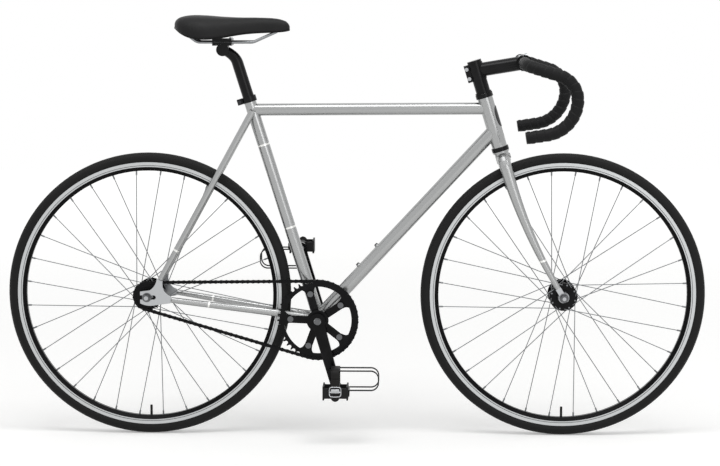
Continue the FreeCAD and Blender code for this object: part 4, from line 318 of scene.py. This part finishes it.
def wheel_spot(tree, tyre):
    """A surface point's distance from the wheel's axle in metres, and its offset from the wheel's middle."""
    middle = [(low + high) / 2 for low, high in zip(*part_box(tyre))]
    spot = add_node(tree, "ShaderNodeTexCoord", {})
    offset = add_node(tree, "ShaderNodeVectorMath", {0: spot.outputs["Object"], 1: middle},
                      operation="SUBTRACT")
    flat = add_node(tree, "ShaderNodeVectorMath", {0: offset.outputs["Vector"], 1: (1, 0, 1)},
                    operation="MULTIPLY")
    radius = add_node(tree, "ShaderNodeVectorMath", {0: flat.outputs["Vector"]}, operation="LENGTH")
    return radius.outputs["Value"], offset.outputs["Vector"]


# Machined rim: a bright ring with fine turning marks on a black hoop.
# Real marks are a few tenths of a millimetre apart, so they are drawn coarser to show.
def machined_rim(name, tyre):
    material, tree = new_material(name, Metallic=0.85)
    radius = wheel_spot(tree, tyre)[0]
    track = add_node(tree, "ShaderNodeMath", {0: radius, 1: (TRACK_INNER + TRACK_OUTER) / 2,
                     2: (TRACK_OUTER - TRACK_INNER) / 2}, operation="COMPARE")
    groove = add_node(tree, "ShaderNodeMath", {0: radius, 1: GROOVE_RADIUS, 2: GROOVE_HALF_WIDTH},
                      operation="COMPARE")
    bare = add_node(tree, "ShaderNodeMath", {0: track.outputs[0], 1: groove.outputs[0]}, operation="SUBTRACT",
                    use_clamp=True)
    colour = add_node(tree, "ShaderNodeMix", {"Factor": bare.outputs[0], "A": hex_colour("#0a0a0b"),
                      "B": hex_colour("#c2c4c5")}, data_type="RGBA")
    rough = add_node(tree, "ShaderNodeMapRange", {"Value": bare.outputs[0], "To Min": 0.3, "To Max": 0.38})
    turns = add_node(tree, "ShaderNodeMath", {0: radius, 1: 2 * math.pi / TOOL_MARK}, operation="MULTIPLY")
    marks = add_node(tree, "ShaderNodeMath", {0: turns.outputs[0]}, operation="SINE")
    bump = add_node(tree, "ShaderNodeBump", {"Height": marks.outputs[0], "Strength": 0.12,
                    "Distance": 0.0002})
    feed(material, Base_Color=colour.outputs["Result"], Roughness=rough.outputs["Result"],
         Normal=bump.outputs["Normal"])
    return material


for end in ("front", "rear"):
    dress(machined_rim("machined_black_rim_" + end, end + "_tyre"), end + "_rim")


# Tyres and inner tubes: black rubber, moulded over a cloth casing and held in the rim by its beads.
# The crown is smooth, with a fine file tread at the shoulders.
TYRE_RADIUS = 0.339
TREAD_PITCH = 0.0042
TREAD_SLANT = 900.0
SHOULDER_RADIUS = 0.3315
SHOULDER_HALF_WIDTH = 0.0042
BLOOM_PATCH = 0.0333


def mottled(material, patch, detail, dark, pale, smooth, rough):
    """Uneven colour and roughness on a material, in soft patches of one size in metres."""
    tree = material.node_tree
    spot = add_node(tree, "ShaderNodeTexCoord", {})
    patches = add_node(tree, "ShaderNodeTexNoise", {"Vector": spot.outputs["Object"], "Scale": 1 / patch,
                       "Detail": detail})
    colour = add_node(tree, "ShaderNodeMix", {"Factor": patches.outputs["Fac"], "A": hex_colour(dark),
                      "B": hex_colour(pale)}, data_type="RGBA")
    level = add_node(tree, "ShaderNodeMapRange", {"Value": patches.outputs["Fac"], "To Min": smooth,
                     "To Max": rough})
    feed(material, Base_Color=colour.outputs["Result"], Roughness=level.outputs["Result"])


# Road rubber: a matt black with a grey bloom.
# The tread's real half-millimetre ribs are drawn coarser to show.
def road_rubber(name, tyre):
    material, tree = new_material(name, Specular_IOR_Level=0.2)
    mottled(material, BLOOM_PATCH, 5.0, "#0a0a0a", "#151515", 0.5, 0.68)
    radius, offset = wheel_spot(tree, tyre)
    parts = add_node(tree, "ShaderNodeSeparateXYZ", {"Vector": offset})
    angle = add_node(tree, "ShaderNodeMath", {0: parts.outputs["Z"], 1: parts.outputs["X"]},
                     operation="ARCTAN2")
    ribs = round(2 * math.pi * TYRE_RADIUS / TREAD_PITCH)
    around = add_node(tree, "ShaderNodeMath", {0: angle.outputs[0], 1: ribs}, operation="MULTIPLY")
    side = add_node(tree, "ShaderNodeMath", {0: parts.outputs["Y"]}, operation="ABSOLUTE")
    slant = add_node(tree, "ShaderNodeMath", {0: side.outputs[0], 1: TREAD_SLANT, 2: around.outputs[0]},
                     operation="MULTIPLY_ADD")
    wave = add_node(tree, "ShaderNodeMath", {0: slant.outputs[0]}, operation="SINE")
    shoulder = add_node(tree, "ShaderNodeMath", {0: radius, 1: SHOULDER_RADIUS, 2: SHOULDER_HALF_WIDTH},
                        operation="COMPARE")
    tread = add_node(tree, "ShaderNodeMath", {0: wave.outputs[0], 1: shoulder.outputs[0]},
                     operation="MULTIPLY")
    bump = add_node(tree, "ShaderNodeBump", {"Height": tread.outputs[0], "Strength": 0.5, "Distance": 0.0005})
    feed(material, Normal=bump.outputs["Normal"])
    return material


for end in ("front", "rear"):
    dress(road_rubber("road_rubber_" + end, end + "_tyre"), end + "_tyre", end + "_inner_tube")


# Pedal bodies, saddle base and bar plugs: glass-filled nylon, moulded with a spark-eroded texture.
# The bodies turn on their spindles, the base springs onto its rails, and the plugs are pushed into the bar.
SPARK_GRAIN = 0.0011
# Moulded nylon: a dull black whose fine grain scatters the light, drawn coarser than real to show.
nylon, nylon_tree = new_material("moulded_black_nylon", Base_Color=hex_colour("#0c0c0d"),
                                 Specular_IOR_Level=0.25)
nylon_spot = add_node(nylon_tree, "ShaderNodeTexCoord", {})
spark = add_node(nylon_tree, "ShaderNodeTexNoise", {"Vector": nylon_spot.outputs["Object"],
                 "Scale": 1 / SPARK_GRAIN, "Detail": 2.0})
nylon_bump = add_node(nylon_tree, "ShaderNodeBump", {"Height": spark.outputs["Fac"], "Strength": 0.25,
                      "Distance": 0.0003})
nylon_rough = add_node(nylon_tree, "ShaderNodeMapRange", {"Value": spark.outputs["Fac"], "To Min": 0.42,
                       "To Max": 0.6})
feed(nylon, Normal=nylon_bump.outputs["Normal"], Roughness=nylon_rough.outputs["Result"])
dress(nylon, "pedal_body_right", "pedal_body_left", "saddle_shell", "bar_end_plugs")


# Head badge: a blank oval plate of brass, enamelled dark and curved round the front of the head tube.
# It is pinned on, so its rim stands a millimetre proud of the lacquer.
BADGE_LOW = 0.4285
BADGE_HIGH = 0.4800
BADGE_HALF_ANGLE = math.radians(48)
BADGE_INNER_RADIUS = 0.01805
BADGE_OUTER_RADIUS = 0.0194
BADGE_OVAL_POWER = 2.4
BADGE_TIP_SHARE = 0.02
BADGE_RINGS = 33
BADGE_STEPS = 24
ENAMEL_POOL = 0.00625
STEER_FOOT = Vector((0.45305, 0, 0.32663))
steer_up = Vector(steer_axis)
steer_fore = Vector((steer_up.z, 0, -steer_up.x))


def skin(name, rings, material, ends="capped"):
    """A smooth mesh through closed rings of points, its ends capped or the last ring joined to the first."""
    shape = bmesh.new()
    rows = [[shape.verts.new(point) for point in ring] for ring in rings]
    size = len(rings[0])
    following = rows[1:] if ends == "capped" else rows[1:] + rows[:1]
    for first, second in zip(rows, following):
        for i in range(size):
            shape.faces.new((first[i], first[(i + 1) % size], second[(i + 1) % size], second[i]))
    if ends == "capped":
        shape.faces.new(rows[0])
        shape.faces.new(rows[-1])
    bmesh.ops.recalc_face_normals(shape, faces=shape.faces[:])
    mesh = bpy.data.meshes.new(name)
    shape.to_mesh(mesh)
    shape.free()
    for face in mesh.polygons:
        face.use_smooth = len(face.vertices) == 4
    mesh.materials.append(material)
    piece = bpy.data.objects.new(name, mesh)
    scene.collection.objects.link(piece)
    return piece


def badge_ring(share):
    """One slice of the plate: its outer face from side to side, and its back."""
    oval = (1 - abs(2 * share - 1) ** BADGE_OVAL_POWER) ** (1 / BADGE_OVAL_POWER)
    wide = max(BADGE_TIP_SHARE, oval)
    centre = STEER_FOOT + steer_up * (BADGE_LOW + (BADGE_HIGH - BADGE_LOW) * share)
    angles = [BADGE_HALF_ANGLE * wide * (2 * k / BADGE_STEPS - 1) for k in range(BADGE_STEPS + 1)]
    front = [(BADGE_OUTER_RADIUS, a) for a in angles]
    back = [(BADGE_INNER_RADIUS, a) for a in reversed(angles)]
    return [centre + (steer_fore * math.cos(a) + Vector((0, math.sin(a), 0))) * r for r, a in front + back]


# Fired enamel: a glassy black that pools in slightly lighter clouds.
enamel = new_material("dark_enamelled_brass", Metallic=0.3, Coat_Weight=0.3, Coat_Roughness=0.12)[0]
mottled(enamel, ENAMEL_POOL, 3.0, "#08080a", "#141417", 0.25, 0.4)
badge = skin("head_badge", [badge_ring(k / (BADGE_RINGS - 1)) for k in range(BADGE_RINGS)], enamel)
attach(badge, "frame")


# Saddle cover: black synthetic leather pulled over foam and glued under the edge of the nylon base.
# It is widest at the tail, crowned across, and falls in a soft roll to the narrow nose.
SADDLE_TAIL = -0.4259
SADDLE_LENGTH = 0.270
SADDLE_HALF_WIDTH = 0.0725
SADDLE_LOW = 0.947
SADDLE_HEIGHT = 0.056
SADDLE_PLACES = (0, 0.012, 0.05, 0.14, 0.27, 0.41, 0.56, 0.72, 0.88, 0.96, 0.99, 1)
SADDLE_WIDTHS = (0.28, 0.50, 0.74, 0.95, 1, 0.80, 0.53, 0.36, 0.29, 0.24, 0.16, 0.07)
SADDLE_TOPS = (0.70, 0.80, 0.92, 1, 0.99, 0.94, 0.905, 0.90, 0.86, 0.76, 0.64, 0.54)
SADDLE_EDGES = (0.58, 0.46, 0.30, 0.08, 0, 0.06, 0.19, 0.27, 0.29, 0.34, 0.40, 0.46)
SADDLE_STATIONS = 121
SADDLE_TOP_STEPS = 36
SADDLE_UNDER_STEPS = 12
SADDLE_ARCH_SHARE = 0.34
SADDLE_EDGE_IN_SHARE = 0.94
EDGE_ROLL_POWER = 0.62
CROWN_POWER = 0.78
LEATHER_GRAIN = 0.0016
RUBBED_PATCH = 0.0455


def table_value(places, values, place):
    """A smooth value between a table's entries, whose slope at each comes from those on both sides."""
    last = len(places) - 1
    i = max(k for k in range(last) if places[k] <= place)
    slopes = []
    for k in (i, i + 1):
        low, high = max(k - 1, 0), min(k + 1, last)
        slopes.append((values[high] - values[low]) / (places[high] - places[low]))
    span = places[i + 1] - places[i]
    t = (place - places[i]) / span
    rise = values[i + 1] - values[i]
    leaving = span * slopes[0] * t * (1 - t) ** 2
    arriving = span * slopes[1] * t * t * (1 - t)
    return values[i] + leaving + rise * t * t * (3 - 2 * t) - arriving


def saddle_ring(share):
    """One slice across the saddle: over the crown from right to left, then back under the edge."""
    x = SADDLE_TAIL + SADDLE_LENGTH * share
    half_width = SADDLE_HALF_WIDTH * table_value(SADDLE_PLACES, SADDLE_WIDTHS, share)
    top = SADDLE_LOW + SADDLE_HEIGHT * table_value(SADDLE_PLACES, SADDLE_TOPS, share)
    edge = SADDLE_LOW + SADDLE_HEIGHT * table_value(SADDLE_PLACES, SADDLE_EDGES, share)
    ring = []
    for k in range(SADDLE_TOP_STEPS + 1):
        turn = math.pi * k / SADDLE_TOP_STEPS
        across = math.copysign(abs(math.cos(turn)) ** EDGE_ROLL_POWER, -math.cos(turn))
        ring.append(Vector((x, half_width * across, edge + (top - edge) * math.sin(turn) ** CROWN_POWER)))
    for k in range(1, SADDLE_UNDER_STEPS):
        turn = math.pi * k / SADDLE_UNDER_STEPS
        inward = SADDLE_EDGE_IN_SHARE * half_width * math.cos(turn)
        ring.append(Vector((x, inward, edge + SADDLE_ARCH_SHARE * (top - edge) * math.sin(turn))))
    return ring


# Synthetic leather: embossed vinyl, a soft black with a pebbled grain and shinier rubbed patches.
leather, leather_tree = new_material("black_synthetic_leather", Specular_IOR_Level=0.22)
mottled(leather, RUBBED_PATCH, 4.0, "#070708", "#121213", 0.42, 0.58)
leather_spot = add_node(leather_tree, "ShaderNodeTexCoord", {})
pebble = add_node(leather_tree, "ShaderNodeTexVoronoi", {"Vector": leather_spot.outputs["Object"],
                  "Scale": 1 / LEATHER_GRAIN}, feature="DISTANCE_TO_EDGE")
pebble_depth = add_node(leather_tree, "ShaderNodeMapRange", {"Value": pebble.outputs["Distance"],
                        "From Max": 0.25})
leather_bump = add_node(leather_tree, "ShaderNodeBump", {"Height": pebble_depth.outputs["Result"],
                        "Strength": 0.3, "Distance": 0.0004})
feed(leather, Normal=leather_bump.outputs["Normal"])
saddle_rings = [saddle_ring(k / (SADDLE_STATIONS - 1)) for k in range(SADDLE_STATIONS)]
saddle = skin("saddle_leather_cover", saddle_rings, leather)
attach(saddle, "saddle")
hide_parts("saddle_cover")


# Bar tape: a padded strip of dense foam wound spirally from beside the stem to each bar end.
# Every turn overlaps the last by a third, which leaves a soft stepped ridge round the drops.
BAR_CENTRE = Vector((0.396319, 0, 0.891893))
BAR_FLAT = 0.155
SHOULDER_BEND = 0.045
RAMP_LENGTH = 0.030
RAMP_ANGLE = math.radians(17)
UPPER_BEND = 0.058
LOWER_BEND = 0.080
END_HEADING = math.radians(8.6) - math.pi
END_LENGTH = 0.046
TAPE_START = 0.062
TAPE_WRAPS = 24
TAPE_BORE = 0.0123
TAPE_LOW = 0.0133
TAPE_LAP = 0.0015
RIDGE_PLACES = (0.0, 0.1, 0.55, 0.93, 1.0)
RIDGE_RISES = (0.0, 1.0, 0.75, 0.25, 0.0)
WRAP_END_SHARE = 0.9999
RINGS_PER_WRAP = 16
BORE_RINGS_PER_WRAP = 2
TAPE_STEPS = 36
FOAM_GRAIN = 0.0014
SCUFFED_PATCH = 0.0286
LEFT = Vector((0, 1, 0))
SIDES = ((-1, "right"), (1, "left"))


def leaning(angle):
    return Vector((math.cos(angle), 0, math.sin(angle)))


ramp_line = leaning(-RAMP_ANGLE)
ramp_end = BAR_CENTRE + LEFT * (BAR_FLAT + SHOULDER_BEND) + ramp_line * (SHOULDER_BEND + RAMP_LENGTH)
upper_centre = ramp_end - leaning(math.pi / 2 - RAMP_ANGLE) * UPPER_BEND
lower_centre = upper_centre + Vector((UPPER_BEND - LOWER_BEND, 0, 0))
lower_end = lower_centre + leaning(END_HEADING + math.pi / 2) * LOWER_BEND
bar_runs = (BAR_FLAT, SHOULDER_BEND * math.pi / 2, RAMP_LENGTH, UPPER_BEND * (math.pi / 2 - RAMP_ANGLE),
            LOWER_BEND * (-math.pi / 2 - END_HEADING), END_LENGTH)
bar_length = sum(bar_runs)


def along_bar(distance):
    """The bar's centre and heading at a distance from the stem along its left half."""
    run = 0
    while run < len(bar_runs) - 1 and distance > bar_runs[run]:
        distance -= bar_runs[run]
        run += 1
    if run == 0:
        return BAR_CENTRE + LEFT * distance, LEFT
    if run == 1:
        turn = distance / SHOULDER_BEND
        corner = BAR_CENTRE + LEFT * (BAR_FLAT + SHOULDER_BEND * math.sin(turn))
        heading = LEFT * math.cos(turn) + ramp_line * math.sin(turn)
        return corner + ramp_line * (SHOULDER_BEND * (1 - math.cos(turn))), heading
    if run == 2:
        return ramp_end - ramp_line * (RAMP_LENGTH - distance), ramp_line
    if run == 3:
        angle = -RAMP_ANGLE - distance / UPPER_BEND
        return upper_centre + leaning(angle + math.pi / 2) * UPPER_BEND, leaning(angle)
    if run == 4:
        angle = -math.pi / 2 - distance / LOWER_BEND
        return lower_centre + leaning(angle + math.pi / 2) * LOWER_BEND, leaning(angle)
    return lower_end + leaning(END_HEADING) * distance, leaning(END_HEADING)


def bar_rings(distances, radius_at):
    """Rings round the bar, each point at the radius that its distance and turn give."""
    rings = []
    across = Vector((0, 0, 1))
    for distance in distances:
        centre, heading = along_bar(distance)
        across = (across - heading * across.dot(heading)).normalized()
        beside = heading.cross(across)
        ring = []
        for k in range(TAPE_STEPS):
            turn = 2 * math.pi * k / TAPE_STEPS
            spoke = across * math.cos(turn) + beside * math.sin(turn)
            ring.append(centre + spoke * radius_at(distance, k / TAPE_STEPS))
        rings.append(ring)
    return rings


def spread(low, high, count):
    """Evenly spaced values from low to high."""
    return [low + (high - low) * k / (count - 1) for k in range(count)]


def wrap_radius(distance, turn):
    """The tape's outer radius, which steps up at each turn's edge and falls away behind it."""
    wrap = (distance - TAPE_START) / (bar_length - TAPE_START) * TAPE_WRAPS - turn
    return TAPE_LOW + TAPE_LAP * table_value(RIDGE_PLACES, RIDGE_RISES, min(wrap % 1.0, WRAP_END_SHARE))


def bore_radius(distance, turn):
    return TAPE_BORE


def sided(rings, side):
    """The rings as they are on the left, or mirrored onto the right."""
    return [[Vector((point.x, point.y * side, point.z)) for point in ring] for ring in rings]


# Foam tape: a flat black with a fine cork-like grain, scuffed lighter where hands rest.
foam, foam_tree = new_material("black_foam_bar_tape", Specular_IOR_Level=0.18)
mottled(foam, SCUFFED_PATCH, 4.0, "#080809", "#161617", 0.48, 0.66)
foam_spot = add_node(foam_tree, "ShaderNodeTexCoord", {})
foam_grain = add_node(foam_tree, "ShaderNodeTexNoise", {"Vector": foam_spot.outputs["Object"],
                      "Scale": 1 / FOAM_GRAIN, "Detail": 3.0})
foam_bump = add_node(foam_tree, "ShaderNodeBump", {"Height": foam_grain.outputs["Fac"], "Strength": 0.3,
                     "Distance": 0.0003})
feed(foam, Normal=foam_bump.outputs["Normal"])
tape_outer = bar_rings(spread(TAPE_START, bar_length, TAPE_WRAPS * RINGS_PER_WRAP), wrap_radius)
tape_bore = bar_rings(spread(TAPE_START, bar_length, TAPE_WRAPS * BORE_RINGS_PER_WRAP), bore_radius)
for side, name in SIDES:
    tape = skin("bar_tape_" + name, sided(tape_outer + tape_bore[::-1], side), foam, ends="looped")
    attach(tape, "fork")
    if side < 0:
        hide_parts("bar_tape")


# Finishing bands: thin black vinyl tape, stretched twice round the inner end of each winding.
# It clings to itself and to the bar, so that the foam can't unwind.
BAND_WIDTH = 0.018
BAND_LEAD = 0.001
BAND_RADIUS = 0.0150
BAND_RINGS = 7
VINYL_WRINKLE = 0.00455


def band_radius(distance, turn):
    return BAND_RADIUS


# Stretched vinyl: smoother and shinier than the foam beside it, with faint wrinkles.
vinyl = new_material("stretched_black_vinyl", Specular_IOR_Level=0.3)[0]
mottled(vinyl, VINYL_WRINKLE, 2.0, "#070708", "#101011", 0.28, 0.42)
band_start = TAPE_START - BAND_LEAD
band_spread = spread(band_start, band_start + BAND_WIDTH, BAND_RINGS)
band_rings = bar_rings(band_spread, band_radius) + bar_rings(band_spread, bore_radius)[::-1]
for side, name in SIDES:
    band = skin("tape_finishing_band_" + name, sided(band_rings, side), vinyl, ends="looped")
    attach(band, "fork")


# Toe straps: two plies of black leather, stitched and threaded through the pedal cage and over the toe clip.
# The tail comes out of the buckle and hangs loose outside the cage, with a trimmed round end.
RIGHT_PEDAL = Vector((-0.044472, 0, 0.124156))
LEFT_PEDAL = Vector((-0.133770, 0, 0.441844))
PEDAL_MIDDLE = 0.113
STRAP_HALF_WIDTH = 0.010
STRAP_THICK = 0.0024
STRAP_HALF_SPAN = 0.0322
STRAP_LOW = 0.0135
STRAP_HIGH = 0.0559
STRAP_CORNER = 0.0105
STRAP_CORNER_STEPS = 8
STRAP_EDGE = 0.0007
TAIL_TOP = 0.0344
TAIL_DROP = 0.052
TAIL_RINGS = 27
TAIL_ROUND = 0.009
TAIL_TIP_SHARE = 0.2
TAIL_CURL = 0.0015
STRAP_RUBBED_PATCH = 0.0167
OUTWARD = Vector((0, -1, 0))
tail_middle = -PEDAL_MIDDLE - STRAP_HALF_SPAN - STRAP_THICK


def at_pedal(rings, side):
    """Rings about the right pedal's axle in their place there, or turned and mirrored onto the left pedal."""
    return [[RIGHT_PEDAL + point if side < 0 else LEFT_PEDAL - point for point in ring] for ring in rings]


def strip_ring(centre, outward, half_width, thick):
    """A slice of a strap, wide along the bike and with its long edges eased."""
    half = thick / 2
    wide, deep = half_width - STRAP_EDGE, half - STRAP_EDGE
    corners = [(half_width, deep), (wide, half), (-wide, half), (-half_width, deep),
               (-half_width, -deep), (-wide, -half), (wide, -half), (half_width, -deep)]
    return [centre + Vector((x, 0, 0)) + outward * out for x, out in corners]


def strap_rings():
    """The loop round the cage and clip, with a rounded corner at each bend."""
    rings = []
    corners = ((1, STRAP_LOW, -90), (1, STRAP_HIGH, 0), (-1, STRAP_HIGH, 90), (-1, STRAP_LOW, 180))
    for along, level, start in corners:
        inset_z = STRAP_CORNER if level == STRAP_LOW else -STRAP_CORNER
        pivot = Vector((0, along * (STRAP_HALF_SPAN - STRAP_CORNER) - PEDAL_MIDDLE, level + inset_z))
        for k in range(STRAP_CORNER_STEPS + 1):
            turn = math.radians(start + 90 * k / STRAP_CORNER_STEPS)
            outward = Vector((0, math.cos(turn), math.sin(turn)))
            rings.append(strip_ring(pivot + outward * STRAP_CORNER, outward, STRAP_HALF_WIDTH, STRAP_THICK))
    return rings


def tail_rings():
    """The free tail, lying along the loop's outer side and lifting a little towards its round end."""
    rings = []
    for share in spread(0, 1, TAIL_RINGS):
        left_over = TAIL_DROP * (1 - share)
        rounding = 1 - min(1, left_over / TAIL_ROUND)
        narrow = max(TAIL_TIP_SHARE, math.sqrt(1 - rounding ** 2))
        centre = Vector((0, tail_middle - TAIL_CURL * share ** 2, TAIL_TOP - TAIL_DROP * share))
        rings.append(strip_ring(centre, OUTWARD, STRAP_HALF_WIDTH * narrow, STRAP_THICK))
    return rings


# Strap leather: tanned and waxed hide, brown-black, with a fine grain and drier, paler rubs.
strap_leather, strap_tree = new_material("laminated_strap_leather", Specular_IOR_Level=0.2)
mottled(strap_leather, STRAP_RUBBED_PATCH, 4.0, "#0b0a0a", "#1b1a19", 0.45, 0.62)
strap_spot = add_node(strap_tree, "ShaderNodeTexCoord", {})
strap_grain = add_node(strap_tree, "ShaderNodeTexVoronoi", {"Vector": strap_spot.outputs["Object"],
                       "Scale": 1 / LEATHER_GRAIN}, feature="DISTANCE_TO_EDGE")
strap_bump = add_node(strap_tree, "ShaderNodeBump", {"Height": strap_grain.outputs["Distance"],
                      "Strength": 0.3, "Distance": 0.0004})
feed(strap_leather, Normal=strap_bump.outputs["Normal"])
for side, name in SIDES:
    strap = skin("toe_strap_loop_" + name, at_pedal(strap_rings(), side), strap_leather, ends="looped")
    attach(strap, "pedal_" + name)
    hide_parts("toe_strap_" + name)
    tail = skin("toe_strap_tail_" + name, at_pedal(tail_rings(), side), strap_leather)
    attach(tail, "pedal_" + name)


# Buckles: a loop of bent wire round the strap's tail, with a roller and a pressed cam, all of plated steel.
# The cam turns against the roller and grips the tail between its edge and the loop.
BUCKLE_HALF_WIDTH = 0.0135
BUCKLE_HALF_HEIGHT = 0.0115
BUCKLE_LEVEL = 0.0055
BUCKLE_CORNER_POWER = 0.45
WIRE_RADIUS = 0.0013
BUCKLE_BULGE = 0.0026
BOW_SIDE_SHARE = 0.2
BUCKLE_POINTS = 48
WIRE_STEPS = 10
ROLLER_RADIUS = 0.0021
ROLLER_RINGS = 7
CAM_HALF_WIDTH = 0.0098
CAM_LOW = -0.0035
CAM_HIGH = 0.0075
CAM_THICK = 0.0016
CAM_RINGS = 9
tail_face = tail_middle - STRAP_THICK / 2


def round_ring(centre, first, second, radius):
    turns = [2 * math.pi * k / WIRE_STEPS for k in range(WIRE_STEPS)]
    return [centre + (first * math.cos(turn) + second * math.sin(turn)) * radius for turn in turns]


def buckle_path(share):
    """A point of the wire loop, which passes beside the tail and bows out over it above and below."""
    turn = 2 * math.pi * share
    x = math.copysign(abs(math.cos(turn)) ** BUCKLE_CORNER_POWER, math.cos(turn))
    z = math.copysign(abs(math.sin(turn)) ** BUCKLE_CORNER_POWER, math.sin(turn))
    bow = BUCKLE_BULGE * max(0.0, abs(z) - abs(x) * BOW_SIDE_SHARE)
    return Vector((BUCKLE_HALF_WIDTH * x, tail_middle - bow, BUCKLE_LEVEL + BUCKLE_HALF_HEIGHT * z))


def buckle_rings():
    """The wire loop, as rings along its path."""
    rings = []
    for k in range(BUCKLE_POINTS):
        here = buckle_path(k / BUCKLE_POINTS)
        heading = (buckle_path((k + 1) / BUCKLE_POINTS) - buckle_path((k - 1) / BUCKLE_POINTS)).normalized()
        inward = (LEFT - heading * LEFT.dot(heading)).normalized()
        rings.append(round_ring(here, inward, heading.cross(inward), WIRE_RADIUS))
    return rings


def roller_rings():
    """The roller, lying across the tail's outer face."""
    places = spread(-BUCKLE_HALF_WIDTH, BUCKLE_HALF_WIDTH, ROLLER_RINGS)
    centres = [Vector((x, tail_face - ROLLER_RADIUS, BUCKLE_LEVEL)) for x in places]
    return [round_ring(centre, LEFT, Vector((0, 0, 1)), ROLLER_RADIUS) for centre in centres]


def cam_rings():
    """The cam plate from its gripping edge on the tail to its thumb tab."""
    rings = []
    for level in spread(CAM_LOW, CAM_HIGH, CAM_RINGS):
        lift = 2 * ROLLER_RADIUS * math.sin(math.pi * (level - CAM_LOW) / (CAM_HIGH - CAM_LOW) / 2)
        centre = Vector((0, tail_face - CAM_THICK / 2 - lift, BUCKLE_LEVEL + level))
        rings.append(strip_ring(centre, OUTWARD, CAM_HALF_WIDTH, CAM_THICK))
    return rings


# Plated steel: the brightest metal here, smooth from the plating bath.
buckle_steel = bright_metal("buckle_plated_steel", "#b9bbbd", 0.22, 3.0)
buckle_parts = (("frame", buckle_rings(), "looped"), ("roller", roller_rings(), "capped"),
                ("cam", cam_rings(), "capped"))
for side, name in SIDES:
    for part, rings, ends in buckle_parts:
        buckle = skin("strap_buckle_" + part + "_" + name, at_pedal(rings, side), buckle_steel, ends=ends)
        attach(buckle, "pedal_" + name)
